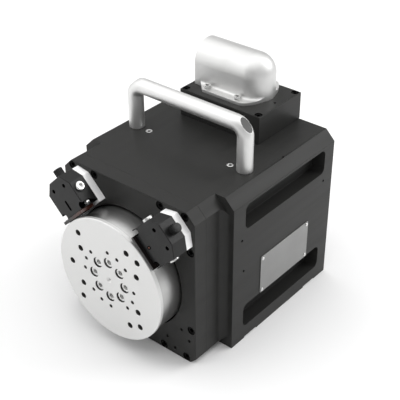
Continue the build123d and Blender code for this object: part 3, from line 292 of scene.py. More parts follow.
def ring_pattern(tree, rings_per_metre):
    """Rings about the spindle axis: noise read along the distance from that axis only."""
    place = tree.nodes.new("ShaderNodeTexCoord")
    apart = tree.nodes.new("ShaderNodeSeparateXYZ")
    flat = tree.nodes.new("ShaderNodeCombineXYZ")
    length = tree.nodes.new("ShaderNodeVectorMath")
    length.operation = "LENGTH"
    noise = tree.nodes.new("ShaderNodeTexNoise")
    noise.noise_dimensions = "1D"
    noise.inputs["Scale"].default_value = rings_per_metre
    noise.inputs["Detail"].default_value = 4.0
    tree.links.new(place.outputs["Object"], apart.inputs["Vector"])
    tree.links.new(apart.outputs["X"], flat.inputs["X"])
    tree.links.new(apart.outputs["Z"], flat.inputs["Z"])
    tree.links.new(flat.outputs["Vector"], length.inputs[0])
    tree.links.new(length.outputs["Value"], noise.inputs["W"])
    return noise.outputs["Fac"]


def turned_steel(name, tone, low, high, rings=1600.0, metallic=1.0):
    """Face turned on a lathe: hair-fine rings about the axis in roughness and bump."""
    material, tree, shader = new_finish(name, (tone, tone, tone * 0.99), metallic, 0.3)
    rings_source = ring_pattern(tree, rings)
    vary_roughness(tree, shader, rings_source, low, high)
    add_bump(tree, shader, rings_source, 0.000004)
    return material


def band_pattern(tree, bands_per_metre):
    """Bands along the spindle axis, as a tool leaves them on a turned rim."""
    place = tree.nodes.new("ShaderNodeTexCoord")
    apart = tree.nodes.new("ShaderNodeSeparateXYZ")
    noise = tree.nodes.new("ShaderNodeTexNoise")
    noise.noise_dimensions = "1D"
    noise.inputs["Scale"].default_value = bands_per_metre
    tree.links.new(place.outputs["Object"], apart.inputs["Vector"])
    tree.links.new(apart.outputs["Y"], noise.inputs["W"])
    return noise.outputs["Fac"]


def polished_rim():
    """Polished steel rim with faint bands round it."""
    material, tree, shader = new_finish("polished_rim", (0.5, 0.5, 0.495), 1.0, 0.3)
    vary_roughness(tree, shader, band_pattern(tree, 600.0), 0.29, 0.37)
    return material


def grained_plastic(name, tone, roughness):
    """Moulded or coated black with a fine grain."""
    material, tree, shader = new_finish(name, (tone, tone, tone), 0.0, roughness)
    shader.inputs["Specular IOR Level"].default_value = 0.26
    grain = stretched_noise(tree, 700.0, (1, 1, 1))
    vary_roughness(tree, shader, grain, roughness - 0.07, roughness + 0.07)
    cloud = stretched_noise(tree, 40.0, (1, 1, 1))
    vary_color(tree, shader, cloud, (tone * 0.88,) * 3, (tone * 1.12,) * 3)
    add_bump(tree, shader, grain, 0.00002)
    return material


def painted(name, color, low, high, metallic=0.0, gloss=0.5):
    """Paint or plating with a soft unevenness in tone and gloss."""
    material, tree, shader = new_finish(name, color, metallic, low)
    shader.inputs["Specular IOR Level"].default_value = gloss
    cloud = stretched_noise(tree, 55.0, (1, 1, 1))
    vary_roughness(tree, shader, cloud, low, high)
    darker = tuple(c * 0.94 for c in color)
    lighter = tuple(min(1, c * 1.04) for c in color)
    vary_color(tree, shader, cloud, darker, lighter)
    add_bump(tree, shader, stretched_noise(tree, 1200.0, (1, 1, 1)), 0.000008)
    return material


def scan_glass():
    """Dark glossy block; on the inner part of the left head its tone turns to a deep red brown."""
    material, tree, shader = new_finish("scan_glass", (0.01, 0.006, 0.005), 0.0, 0.2)
    place = tree.nodes.new("ShaderNodeTexCoord")
    apart = tree.nodes.new("ShaderNodeSeparateXYZ")
    spread = tree.nodes.new("ShaderNodeMapRange")
    spread.inputs["From Min"].default_value = -0.08
    spread.inputs["From Max"].default_value = 0.0
    ramp = tree.nodes.new("ShaderNodeValToRGB")
    nearly_black = (0.008, 0.006, 0.006, 1)
    red_brown = (0.05, 0.012, 0.006, 1)
    stops = ramp.color_ramp.elements
    stops[0].position = 0.24
    stops[0].color = nearly_black
    stops[1].position = 0.42
    stops[1].color = red_brown
    stops.new(0.6).color = red_brown
    stops.new(0.85).color = nearly_black
    tree.links.new(place.outputs["Object"], apart.inputs["Vector"])
    tree.links.new(apart.outputs["X"], spread.inputs["Value"])
    tree.links.new(spread.outputs["Result"], ramp.inputs["Fac"])
    tree.links.new(ramp.outputs["Color"], shader.inputs["Base Color"])
    vary_roughness(tree, shader, stretched_noise(tree, 90.0, (1, 1, 1)), 0.14, 0.26)
    return material


def laminated_iron():
    """Stack of thin sheets: fine bands along the axis in tone and bump."""
    material, tree, shader = new_finish("laminated_iron", (0.25, 0.25, 0.26), 1.0, 0.45)
    bands = band_pattern(tree, 2000.0)
    vary_color(tree, shader, bands, (0.2, 0.2, 0.21), (0.3, 0.3, 0.31))
    vary_roughness(tree, shader, bands, 0.38, 0.52)
    add_bump(tree, shader, bands, 0.00003)
    return material


finish = {
    "body_black": black_anodised(),
    "rear_black": black_anodised(),
    "plate_steel": turned_steel("turned_faceplate", 0.7, 0.36, 0.46, metallic=0.7),
    "drum_steel": polished_rim(),
    "screw_bright": satin_aluminium("bright_screw", 0.68, 0.2, 0.32),
    "screw_black": painted("black_oxide", (0.002, 0.002, 0.002), 0.4, 0.5, gloss=0.06),
    "spindle_steel": turned_steel("turned_spindle", 0.5, 0.25, 0.4),
    "bearing_steel": turned_steel("ground_bearing", 0.62, 0.12, 0.22),
    "cage_brass": painted("cage_brass", (0.6, 0.42, 0.15), 0.25, 0.38, 1.0),
    "seal_rubber": grained_plastic("seal_rubber", 0.02, 0.7),
    "jacket_aluminium": satin_aluminium("jacket_aluminium", 0.6, 0.3, 0.42),
    "stack_iron": laminated_iron(),
    "coil_copper": painted("enamelled_copper", (0.55, 0.2, 0.07), 0.25, 0.4, 0.9),
    "magnet_nickel": painted("nickel_plate", (0.55, 0.53, 0.48), 0.18, 0.28, 1.0),
    "elbow_aluminium": satin_aluminium("cast_elbow", 0.69, 0.46, 0.54),
    "handle_aluminium": satin_aluminium("handle_bar", 0.73, 0.44, 0.52),
    "label_aluminium": satin_aluminium("blank_label", 0.3, 0.42, 0.52),
    "head_black": grained_plastic("head_black", 0.0075, 0.38),
    "spacer_white": painted("spacer_white", (0.88, 0.88, 0.88), 0.35, 0.45),
    "scan_amber": scan_glass(),
    # painted shade: near-black walls of holes and screw sockets, where little light reaches
    "hole_shade_paint": painted("painted_hole_shade", (0.022, 0.021, 0.02), 0.45, 0.6, gloss=0.3),
    # painted dark reflection on the milled flats of the handle
    "painted_dark_reflection": satin_aluminium("painted_dark_reflection", 0.06, 0.35, 0.45),
    # painted shade: near-black for hole walls, the dark ring round the lamp and the slot
    "painted_shade_black": painted("painted_shade_black", (0.002, 0.002, 0.002), 0.6, 0.7, gloss=0.0),
    "lamp_orange": painted("lamp_orange", (0.14, 0.03, 0.01), 0.25, 0.35),
    "cap_black": grained_plastic("cap_black", 0.012, 0.4),
}
for entry in frame["record"]["subparts"]:
    node = nodes[entry["node"]]
    node.data.materials.clear()
    node.data.materials.append(finish[entry["material_slot"]])
print("finishes", len(finish))

# %% [markdown]
# Softened edges. On the real machine every milled edge is broken with a file or a small cutter, and
# that narrow rounded band catches the light. The imported solids have perfect edges, so each visible
# one is copied, its loose triangles are welded, and a Bevel modifier rounds what is sharper than 30
# degrees. A shader could fake the band, but here it is real geometry. The
# pieces that are computed again further down aren't copied.
#
# A flat face that is made of long thin triangles shades unevenly when its vertex normals are plain
# averages. Here each face pulls on its corners with the whole area that lies in its plane, so the
# big flat faces stay flat and only the narrow rounded bands bend the light.

# %% Softened copies of the imported solids
sharp_angle = math.radians(30)


def welded_copy(node_name):
    """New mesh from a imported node, with equal points joined."""
    work = bmesh.new()
    work.from_mesh(nodes[node_name].data)
    bmesh.ops.remove_doubles(work, verts=work.verts, dist=2e-6)
    mesh = bpy.data.meshes.new("soft_" + node_name)
    work.to_mesh(mesh)
    work.free()
    return mesh


def plane_weighted_normals(mesh):
    """Vertex normal = sum of face normals, each weighted by the whole area in its plane."""
    count = len(mesh.polygons)
    normals = np.empty(count * 3)
    centres = np.empty(count * 3)
    areas = np.empty(count)
    mesh.polygons.foreach_get("normal", normals)
    mesh.polygons.foreach_get("center", centres)
    mesh.polygons.foreach_get("area", areas)
    normals = normals.reshape(-1, 3)
    offsets = (normals * centres.reshape(-1, 3)).sum(axis=1)
    keys = np.column_stack([np.round(normals * 400), np.round(offsets / 2e-5)])
    _, plane = np.unique(keys, axis=0, return_inverse=True)
    plane = plane.ravel()
    weights = np.bincount(plane, weights=areas)[plane]
    corners = np.empty(len(mesh.loops), dtype=np.int64)
    mesh.loops.foreach_get("vertex_index", corners)
    sizes = np.empty(count, dtype=np.int64)
    mesh.polygons.foreach_get("loop_total", sizes)
    owner = np.repeat(np.arange(count), sizes)
    total = np.zeros((len(mesh.vertices), 3))
    np.add.at(total, corners, normals[owner] * weights[owner][:, None])
    total /= np.maximum(np.linalg.norm(total, axis=1, keepdims=True), 1e-12)
    mesh.shade_smooth()
    mesh.normals_split_custom_set_from_vertices(total.tolist())


def finish_piece(piece, body, node_name):
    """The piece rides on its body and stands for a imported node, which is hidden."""
    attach(piece, body)
    if node_name:
        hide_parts(node_name)


def soften(node_name, slot_name, width):
    """Softened copy of one node, with edges rounded by a width in millimetres."""
    piece = add_object("soft_" + node_name, welded_copy(node_name), finish[slot_name])
    bevel = piece.modifiers.new("edge_break", "BEVEL")
    bevel.width = width * MM
    bevel.segments = 2
    bevel.limit_method = "ANGLE"
    bevel.angle_limit = sharp_angle
    bevel.use_clamp_overlap = False
    bevel.loop_slide = False
    shaped = piece.evaluated_get(bpy.context.evaluated_depsgraph_get())
    finished = bpy.data.meshes.new_from_object(shaped)
    piece.modifiers.clear()
    piece.data = finished
    plane_weighted_normals(finished)
    finish_piece(piece, "housing", node_name)
    return piece


slot_of = {entry["node"]: entry["material_slot"] for entry in frame["record"]["subparts"]}
soft_widths = {
    "housing": 0.35,
    "front_cover": 0.25,
    "junction_box": 0.25,
    "rear_plate": 0.3,
    "cable_elbow": 0.12,
    "right_head_body": 0.25,
    "left_head_body": 0.25,
    "right_head_spacer": 0.3,
    "left_head_spacer": 0.3,
    "right_scan_block": 0.15,
    "left_scan_block": 0.15,
    "nameplate": 0.15,
    "nameplate_rivets": 0.15,
    "cover_screws": 0.25,
    "box_screws": 0.25,
    "head_mount_screws": 0.2,
    "rear_plate_screws": 0.12,
}
softened = {}
for node_name, width in soft_widths.items():
    softened[node_name] = soften(node_name, slot_of[node_name], width)
print("softened", len(softened))

# %% [markdown]
# Dark holes. The wall of a deep narrow hole gets almost no light, and here that shade is painted on
# as a near-black finish. The places of the sunk screws are read from the screws themselves: the
# welded mesh of a screw node falls into islands, one for each screw, and the middle of an island
# lies on its axis. Walls close to such an axis get the painted shade, while the broken edge at the
# mouth stays bright.
# The two empty holes in the front of each head are found from their place on the head instead: the
# heads lean 45 degrees to either side, so a place on one is given by how far out it lies and how far
# across.

# %% Painted shade on the walls of the sunk holes
cover_hole_reach = 5.7
box_hole_reach = 5.4
mount_hole_reach = 4.9
front_hole_reach = 2.8
front_holes = ((122.5, 21.5), (124.5, -3.0))
diagonal = math.sqrt(0.5)


def island_middles(node_name):
    """Middle of each connected part; the smallest label is passed along the edges until it rests."""
    mesh = welded_copy(node_name)
    points = np.empty(len(mesh.vertices) * 3)
    mesh.vertices.foreach_get("co", points)
    points = points.reshape(-1, 3)
    edges = np.empty(len(mesh.edges) * 2, dtype=np.int64)
    mesh.edges.foreach_get("vertices", edges)
    first, second = edges.reshape(-1, 2).T
    labels = np.arange(len(points))
    resting = False
    while not resting:
        before = labels.copy()
        lowest = np.minimum(labels[first], labels[second])
        np.minimum.at(labels, first, lowest)
        np.minimum.at(labels, second, lowest)
        labels = labels[labels]
        resting = np.array_equal(before, labels)
    _, part = np.unique(labels, return_inverse=True)
    low = np.full((part.max() + 1, 3), np.inf)
    high = np.full((part.max() + 1, 3), -np.inf)
    np.minimum.at(low, part, points)
    np.maximum.at(high, part, points)
    bpy.data.meshes.remove(mesh)
    return (low + high) / 2


def head_place(side, out, across, depth):
    """Point on a head: outward and across directions lean 45 degrees, depth runs along the axis."""
    return np.stack([side * (out - across) * diagonal, depth, (out + across) * diagonal], axis=-1)


def paint_shade_on_walls(piece, middles, radius, axis):
    """Faces within a radius (mm) of an axis, that run along it, take the black of painted shade."""
    mesh = piece.data
    count = len(mesh.polygons)
    centres = np.empty(count * 3)
    normals = np.empty(count * 3)
    shades = np.empty(count, dtype=np.int32)
    mesh.polygons.foreach_get("center", centres)
    mesh.polygons.foreach_get("normal", normals)
    mesh.polygons.foreach_get("material_index", shades)
    across = [k for k in range(3) if k != axis]
    flat = centres.reshape(-1, 3)[:, across]
    apart = np.linalg.norm(flat[:, None, :] - middles[None, :, across], axis=2).min(axis=1)
    wall = np.abs(normals.reshape(-1, 3)[:, axis]) < 0.5
    # walls near the axis get painted shade
    shades[(apart < radius * MM) & wall] = 1
    if len(mesh.materials) < 2:
        mesh.materials.append(finish["painted_shade_black"])
    mesh.polygons.foreach_set("material_index", shades)
    return int((shades == 1).sum())


cover_middles = island_middles("cover_screws")
box_middles = island_middles("box_screws")
mount_middles = island_middles("head_mount_screws")
dark_faces = paint_shade_on_walls(softened["front_cover"], cover_middles, cover_hole_reach, 1)
dark_faces += paint_shade_on_walls(softened["junction_box"], box_middles, box_hole_reach, 2)
for side, head_name in ((1, "right_head_body"), (-1, "left_head_body")):
    hole_middles = np.array([head_place(side, out, across, 0.0) for out, across in front_holes])
    dark_faces += paint_shade_on_walls(softened[head_name], mount_middles, mount_hole_reach, 1)
    dark_faces += paint_shade_on_walls(softened[head_name], hole_middles * MM, front_hole_reach, 1)
print("dark wall faces", dark_faces)

# %% [markdown]
# Faceplate. A real one is turned in one setting, then drilled and tapped. The flat front with its
# many holes is one region between circles, so a constrained triangulation fills it: the circles are
# its fixed edges, and triangles whose middle lies in a hole are dropped. Every hole then gets its
# countersunk mouth, its wall and its bottom as rings of points. The walls have a dark finish of their
# own: painted shade for the little light that reaches down into a deep hole.

# %% Faceplate
plate_high = np.array(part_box("faceplate")[1]) / MM
plate_radius = plate_high[0]
plate_depth = plate_high[1]
plate_rim = 5.0
spigot_radius = plate_radius - 8.5
plate_chamfer = 0.8
rim_break = 0.4
mouth = 0.45
rim_steps = 320
large_holes = (
    (plate_radius - 15.0, [45, 135, 225, 315]),
    (plate_radius - 20.5, [60, 180, 300]),
    (plate_radius - 30.0, [30, 150, 210, 330]),
)
large_radius = 4.0
large_pitch = 1.25
small_circle = 40.0
small_turns = [90 * quarter + turn for quarter in range(4) for turn in (0.0, -22.5, -45.0)]
small_radius = 2.5
small_pitch = 0.8
tapped_depth = 12.0
screw_circle = 25.0
screw_turns = np.arange(8) * 45
sink_radius = 6.8
sink_depth = 9.0
mark_sink = 3.5
mark_radius = 1.25
mark_depth = 6.0


def circle(centre, radius, count):
    """Points (x, z) of a circle: centre + radius (cos t, sin t)."""
    turn = np.linspace(0, 2 * math.pi, count, endpoint=False)
    return np.stack([centre[0] + radius * np.cos(turn), centre[1] + radius * np.sin(turn)], axis=-1)


def on_circle(radius, degrees):
    """Centres on a hole circle at the given angles."""
    turn = np.radians(np.asarray(degrees, dtype=float))
    return np.stack([radius * np.cos(turn), radius * np.sin(turn)], axis=-1)


def ring_stack(centre, radii, depths, count):
    """Rings round one centre at the given radii and depths, as a grid (rings, points, xyz)."""
    flat = circle((0.0, 0.0), 1.0, count)
    radii = np.asarray(radii, dtype=float)
    if radii.ndim == 1:
        radii = np.repeat(radii[:, None], count, axis=1)
    grid = np.empty((len(radii), count, 3))
    grid[..., 0] = centre[0] + radii * flat[None, :, 0]
    grid[..., 1] = np.asarray(depths, dtype=float)[:, None]
    grid[..., 2] = centre[1] + radii * flat[None, :, 1]
    return grid


def grid_faces(rows, columns, start):
    """Quads between neighbouring rings that close on themselves."""
    row, column = np.meshgrid(np.arange(rows - 1), np.arange(columns), indexing="ij")
    beside = (column + 1) % columns
    quads = np.stack(
        [row * columns + column, (row + 1) * columns + column,
         (row + 1) * columns + beside, row * columns + beside],
        axis=-1,
    )
    return quads.reshape(-1, 4) + start


def weld(mesh, distance=1e-7):
    """Join equal points and turn all faces outward."""
    work = bmesh.new()
    work.from_mesh(mesh)
    bmesh.ops.remove_doubles(work, verts=work.verts, dist=distance)
    bmesh.ops.dissolve_degenerate(work, dist=1e-9, edges=work.edges)
    bmesh.ops.recalc_face_normals(work, faces=work.faces)
    work.to_mesh(mesh)
    work.free()


def smooth_by_angle(mesh, degrees=30.0):
    """Smooth shading with creases kept where faces meet more sharply than the angle."""
    mesh.shade_smooth()
    mesh.set_sharp_from_angle(angle=math.radians(degrees))


def tapped_well(centre, radius, pitch, count):
    """Tapped hole: mouth, helical thread r = R - h (1 - |1 - 2 frac(y / pitch + t / 2 pi)|), end."""
    turn = np.linspace(0, 1, count, endpoint=False)
    threaded = np.arange(mouth, 0.6 * tapped_depth, pitch / 6)
    phase = (threaded[:, None] / pitch + turn[None, :]) % 1.0
    height = 0.55 * pitch
    fade = np.clip((threaded - mouth) / pitch, 0, 1)[:, None]
    screw = radius - height * fade * (1 - np.abs(1 - 2 * phase))
    core = radius - height
    tail_depths = [0.6 * tapped_depth, tapped_depth, tapped_depth + 0.5 * core]
    tail = np.repeat(np.array([[core], [core], [0.0]]), count, axis=1)
    first = np.full((1, count), radius + mouth)
    radii = np.concatenate([first, screw, tail])
    depths = np.concatenate([[0.0], threaded, tail_depths])
    return ring_stack(centre, radii, depths, count)


def drilled_cap(outer_radius, hole_rings):
    """Triangles of a flat disc between its rim and the hole mouths."""
    loops = [circle((0.0, 0.0), outer_radius, rim_steps)]
    loops += [ring[0][:, [0, 2]] for ring in hole_rings]
    edges = []
    start = 0
    for loop in loops:
        index = np.arange(len(loop))
        edges.append(np.stack([index, (index + 1) % len(loop)], axis=-1) + start)
        start += len(loop)
    points = [Vector(p) for p in np.concatenate(loops).tolist()]
    coords, _, faces, _, _, _ = delaunay_2d_cdt(
        points, np.concatenate(edges).tolist(), [], 0, 1e-6
    )
    flat = np.array([tuple(c) for c in coords])
    tris = np.array([tuple(f) for f in faces])
    middles = flat[tris].mean(axis=1)
    keep = np.hypot(middles[:, 0], middles[:, 1]) < outer_radius
    for ring in hole_rings:
        rim = ring[0][:, [0, 2]]
        centre = rim.mean(axis=0)
        reach = np.hypot(*(rim[0] - centre)) * math.cos(math.pi / len(rim))
        keep &= np.hypot(*(middles - centre).T) > reach - 1e-6
    cap = np.stack([flat[:, 0], np.zeros(len(flat)), flat[:, 1]], axis=-1)
    return cap, tris[keep]


def faceplate_mesh():
    """Front cap, hole wells and the turned outside, joined to one closed surface."""
    wells = []
    for hole_circle, degrees in large_holes:
        for centre in on_circle(hole_circle, degrees):
            wells.append(tapped_well(centre, large_radius, large_pitch, 48))
    for centre in on_circle(small_circle, small_turns):
        wells.append(tapped_well(centre, small_radius, small_pitch, 36))
    sink_radii = [sink_radius + mouth, sink_radius, sink_radius, 0.0]
    sink_depths = [0, mouth, sink_depth, sink_depth]
    for centre in on_circle(screw_circle, screw_turns):
        wells.append(ring_stack(centre, sink_radii, sink_depths, 64))
    mark_radii = [mark_sink, mark_radius, mark_radius, 0.0]
    mark_depths = [0, mark_sink - mark_radius, mark_depth, mark_depth + 0.5]
    wells.append(ring_stack((0, 0), mark_radii, mark_depths, 48))
    face_radius = plate_radius - plate_chamfer
    outline = [
        (face_radius, 0), (plate_radius, plate_chamfer), (plate_radius, plate_rim - rim_break),
        (plate_radius - rim_break, plate_rim), (spigot_radius, plate_rim),
        (spigot_radius, plate_depth), (0, plate_depth),
    ]
    outside = ring_stack((0, 0), *np.transpose(outline), rim_steps)
    cap, tris = drilled_cap(face_radius, wells)
    points = [cap]
    faces = tris.tolist()
    shades = [np.zeros(len(tris), dtype=np.int32)]
    start = len(cap)
    for stack in wells + [outside]:
        points.append(stack.reshape(-1, 3))
        bands = grid_faces(stack.shape[0], stack.shape[1], start)
        inside = np.arange(len(bands)) >= stack.shape[1]
        # the hole walls take the second finish, which is painted shade
        shades.append(np.where(inside & (stack is not outside), 1, 0).astype(np.int32))
        faces += bands.tolist()
        start += stack.shape[0] * stack.shape[1]
    mesh = bpy.data.meshes.new("turned_faceplate")
    mesh.from_pydata((np.concatenate(points) * MM).tolist(), [], faces)
    mesh.polygons.foreach_set("material_index", np.concatenate(shades))
    weld(mesh)
    smooth_by_angle(mesh)
    return mesh


faceplate = add_object("turned_faceplate", faceplate_mesh())
faceplate.data.materials.append(finish["plate_steel"])
faceplate.data.materials.append(finish["hole_shade_paint"])
finish_piece(faceplate, "rotor", "faceplate")
print("faceplate faces", len(faceplate.data.polygons))

# %% [markdown]
# Graduated drum. It is the polished ring that the scanning heads read, turned on a lathe in one
# piece with its web. A lathe profile is a closed line; each corner becomes a short arc, and turning
# the line in many steps keeps the reflections round.

# %% Graduated drum


def rounded_profile(corners, radius, steps=5):
    """Closed line with each corner replaced by an arc, as a quadratic blend between its tangents."""
    corners = np.asarray(corners, dtype=float)
    before = np.roll(corners, 1, axis=0) - corners
    after = np.roll(corners, -1, axis=0) - corners
    before /= np.linalg.norm(before, axis=1, keepdims=True)
    after /= np.linalg.norm(after, axis=1, keepdims=True)
    t = np.linspace(0, 1, steps)[None, :, None]
    start = (corners + radius * before)[:, None, :]
    end = (corners + radius * after)[:, None, :]
    bend = corners[:, None, :]
    return ((1 - t) ** 2 * start + 2 * t * (1 - t) * bend + t ** 2 * end).reshape(-1, 2)


def turned(profile, steps):
    """Surface of revolution about the spindle axis: (r cos t, y, r sin t)."""
    turn = np.linspace(0, 2 * math.pi, steps, endpoint=False)
    radius = profile[:, 0][:, None]
    depth = np.repeat(profile[:, 1][:, None], steps, axis=1)
    return np.stack([radius * np.cos(turn), depth, radius * np.sin(turn)], axis=-1)


drum_low, drum_high = [np.array(corner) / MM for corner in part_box("graduated_drum")]
drum_front = drum_low[1]
drum_end = drum_high[1]
drum_radius = drum_high[0]
drum_inside = drum_radius - 6.0
drum_seat = spigot_radius + 0.05
web_bore = 47.0
web_end = plate_depth + 6.0
drum_edge = 0.3
drum_corners = [
    (drum_seat, drum_front), (drum_radius, drum_front), (drum_radius, drum_end),
    (drum_inside, drum_end), (drum_inside, web_end), (web_bore, web_end),
    (web_bore, plate_depth), (drum_seat, plate_depth),
]
drum_profile = rounded_profile(drum_corners, drum_edge)
drum_mesh = grid_mesh("turned_drum", turned(drum_profile, 256) * MM, wrap_u=True, wrap_v=True)
weld(drum_mesh)
smooth_by_angle(drum_mesh)
drum = add_object("turned_drum", drum_mesh, finish["drum_steel"])
finish_piece(drum, "rotor", "graduated_drum")
print("drum faces", len(drum_mesh.polygons))

# %% [markdown]
# Grab handle. A round aluminium bar is bent twice in a bending tool and screwed on from below, and
# the outer corner of each bend is milled flat. The bar is a circle carried along the bent line;
# points that would stand beyond the milled plane are moved back onto it. The faces that lie in such
# a plane get a much darker finish: a painted dark reflection, as the flats mirror a dark part of the
# room.

# %% Grab handle
bar_low, bar_high = [np.array(corner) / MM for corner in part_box("handle")]
bar_radius = (bar_high[1] - bar_low[1]) / 2
bar_y = (bar_high[1] + bar_low[1]) / 2
leg_x = bar_high[0] - bar_radius
bar_z = bar_high[2] - bar_radius
bar_foot = bar_low[2]
bar_bend = 15.0
bar_edge = 0.5
corner_cut = 2.4


def handle_line():
    """Centre line (x, z) with its direction: leg, quarter bend, top, quarter bend, leg."""
    bend = np.linspace(0, math.pi / 2, 90)
    corner_x = leg_x - bar_bend
    corner_z = bar_z - bar_bend
    foot = [bar_foot, bar_foot, bar_foot + bar_edge]
    leg = np.concatenate([foot, np.linspace(bar_foot + 2 * bar_edge, corner_z, 12)[:-1]])
    left_leg = np.stack([np.full(len(leg), -leg_x), leg], axis=-1)
    left_bend = np.stack(
        [-corner_x - bar_bend * np.cos(bend), corner_z + bar_bend * np.sin(bend)], axis=-1
    )
    across = np.linspace(-corner_x, corner_x, 24)[1:-1]
    top = np.stack([across, np.full(len(across), bar_z)], axis=-1)
    half = np.concatenate([left_leg, left_bend])
    other = half[::-1] * np.array([-1.0, 1.0])
    points = np.concatenate([half, top, other])
    heading_half = np.concatenate([np.full(len(leg), math.pi / 2), math.pi / 2 - bend])
    heading = np.concatenate([heading_half, np.zeros(len(across)), -heading_half[::-1]])
    return points, heading


def handle_points():
    """Circle c + R (cos t n + sin t y) carried along the line, moved back onto two milled planes."""
    line, heading = handle_line()
    radius = np.full(len(line), bar_radius)
    radius[[0, -1]] = 0.0
    radius[[1, -2]] = bar_radius - bar_edge
    turn = np.linspace(0, 2 * math.pi, 144, endpoint=False)
    out = radius[:, None] * np.cos(turn)[None, :]
    x = line[:, 0][:, None] - out * np.sin(heading)[:, None]
    z = line[:, 1][:, None] + out * np.cos(heading)[:, None]
    y = bar_y + radius[:, None] * np.sin(turn)[None, :]
    for side in (-1, 1):
        normal = np.array([side, 1.0]) / math.sqrt(2)
        beyond = (x - side * (leg_x - bar_bend)) * normal[0] + (z - bar_z + bar_bend) * normal[1]
        excess = np.clip(beyond - (bar_bend + bar_radius - corner_cut), 0, None)
        near = side * x > leg_x - bar_bend
        x -= np.where(near, excess * normal[0], 0.0)
        z -= np.where(near, excess * normal[1], 0.0)
    return np.stack([x, y, z], axis=-1)


handle_mesh = grid_mesh("bent_handle", handle_points() * MM, wrap_v=True)
weld(handle_mesh)
smooth_by_angle(handle_mesh, 24.0)
flat_normals = np.empty(len(handle_mesh.polygons) * 3)
handle_mesh.polygons.foreach_get("normal", flat_normals)
flat_normals = flat_normals.reshape(-1, 3)
on_flat = (np.abs(flat_normals[:, 0]) + flat_normals[:, 2]) / math.sqrt(2) > 0.9998
# faces in the milled planes take the painted dark reflection
handle_mesh.polygons.foreach_set("material_index", on_flat.astype(np.int32))
handle = add_object("bent_handle", handle_mesh)
handle.data.materials.append(finish["handle_aluminium"])
handle.data.materials.append(finish["painted_dark_reflection"])
finish_piece(handle, "housing", "handle")
print("handle faces", len(handle_mesh.polygons))

# %% [markdown]
# Head caps. The small screwed caps on the ends of the two scanning heads have ribs for the fingers.
# They are moulded; a cosine round the rim gives the ribs, and it fades out at both ends.

# %% Ribbed head caps
rib_depth = 0.55
cap_out = 135.0
cap_sideways = 10.5
cap_depth = 17.8
cap_ribs = 18


def ribbed_cap(side):
    """Cap r = R - h (1 - cos(n t)) / 2 along its own axis, which leans 45 degrees outward."""
    along = np.array([0, 0, 0.4, 1.0, 1.6, 8.2, 8.8, 9.4, 9.8, 10.0, 10.0])
    base = np.array([0, 5.4, 5.8, 5.8, 5.8, 5.8, 5.8, 5.5, 4.9, 4.2, 0])
    rib = np.array([0, 0, 0, 0.3, 1, 1, 0.3, 0, 0, 0, 0]) * rib_depth
    turn = np.linspace(0, 2 * math.pi, cap_ribs * 8, endpoint=False)
    radius = base[:, None] - rib[:, None] * (1 - np.cos(cap_ribs * turn))[None, :] / 2
    out = cap_out + np.repeat(along[:, None], len(turn), axis=1)
    sideways = cap_sideways + radius * np.cos(turn)
    depth = cap_depth + radius * np.sin(turn)
    return head_place(side, out, sideways, depth)


cap_points = np.concatenate([ribbed_cap(1), ribbed_cap(-1)])
cap_rows = len(cap_points) // 2
cap_columns = cap_points.shape[1]
cap_faces = np.concatenate([
    grid_faces(cap_rows, cap_columns, 0),
    grid_faces(cap_rows, cap_columns, cap_rows * cap_columns),
])
cap_mesh = bpy.data.meshes.new("ribbed_caps")
cap_mesh.from_pydata((cap_points.reshape(-1, 3) * MM).tolist(), [], cap_faces.tolist())
weld(cap_mesh)
smooth_by_angle(cap_mesh, 40.0)
caps = add_object("ribbed_caps", cap_mesh, finish["cap_black"])
finish_piece(caps, "housing", "head_caps")
print("caps", 2, "ribs", cap_ribs)

# %% [markdown]
# Bright socket screws. A standard screw is headed cold, its socket is punched and its shank rolled.
# One grid of rings gives the whole screw: the socket wall is a hexagon, the rest is round. The same
# grid is then laid on each place along its own axis. In the small screws on the elbow and beside the
# handle the socket is painted darker, as painted shade for the little light that finds its way in.

# %% Bright socket screws


def socket_screw(key, key_depth, outline, columns=72):
    """Rings about z: hexagon r(t) = key cos 30 / cos((t mod 60) - 30), then a round outline."""
    turn = np.linspace(0, 360, columns, endpoint=False)
    hexagon = key * math.cos(math.pi / 6) / np.cos(np.radians(turn % 60 - 30))
    radii = [np.zeros(columns), hexagon, hexagon, np.full(columns, key + 0.3)]
    heights = [-key_depth - 0.3 * key, -key_depth, -0.35, 0.0]
    for radius, height in outline:
        radii.append(np.full(columns, radius))
        heights.append(height)
    grid = ring_stack((0.0, 0.0), np.array(radii), heights, columns)
    return grid[..., [0, 2, 1]]


def along_axis(grid, place, axis):
    """The grid with its z axis laid along a direction, at a place."""
    axis = np.asarray(axis, dtype=float)
    axis /= np.linalg.norm(axis)
    helper = np.array([1.0, 0.0, 0.0]) if abs(axis[0]) < 0.9 else np.array([0.0, 1.0, 0.0])
    first = np.cross(helper, axis)
    first /= np.linalg.norm(first)
    second = np.cross(axis, first)
    return np.asarray(place) + grid @ np.stack([first, second, axis])


def screw_set(name, grids, node_name, body, shaded_socket_bands=2):
    """One mesh of several screws; the first bands of each are the socket, painted dark as shade."""
    points = []
    faces = []
    shades = []
    start = 0
    for grid in grids:
        bands = grid_faces(grid.shape[0], grid.shape[1], start)
        points.append(grid.reshape(-1, 3))
        faces.append(bands)
        # the socket bands take the second finish: painted shade
        shades.append((np.arange(len(bands)) < shaded_socket_bands * grid.shape[1]).astype(np.int32))
        start += grid.shape[0] * grid.shape[1]
    mesh = bpy.data.meshes.new(name)
    mesh.from_pydata((np.concatenate(points) * MM).tolist(), [], np.concatenate(faces).tolist())
    mesh.polygons.foreach_set("material_index", np.concatenate(shades))
    weld(mesh)
    smooth_by_angle(mesh)
    made = add_object(name, mesh)
    made.data.materials.append(finish["screw_bright"])
    made.data.materials.append(finish["hole_shade_paint"])
    finish_piece(made, body, node_name)
    return made


def cap_outline(head, height, shank, length):
    """Cylinder head with a broken edge, then the shank."""
    return [
        (head - 0.7, 0.0), (head - 0.25, -0.12), (head, -0.6), (head, -height),
        (shank, -height), (shank, 0.5 - length), (shank - 0.5, -length), (0.0, -length),
    ]


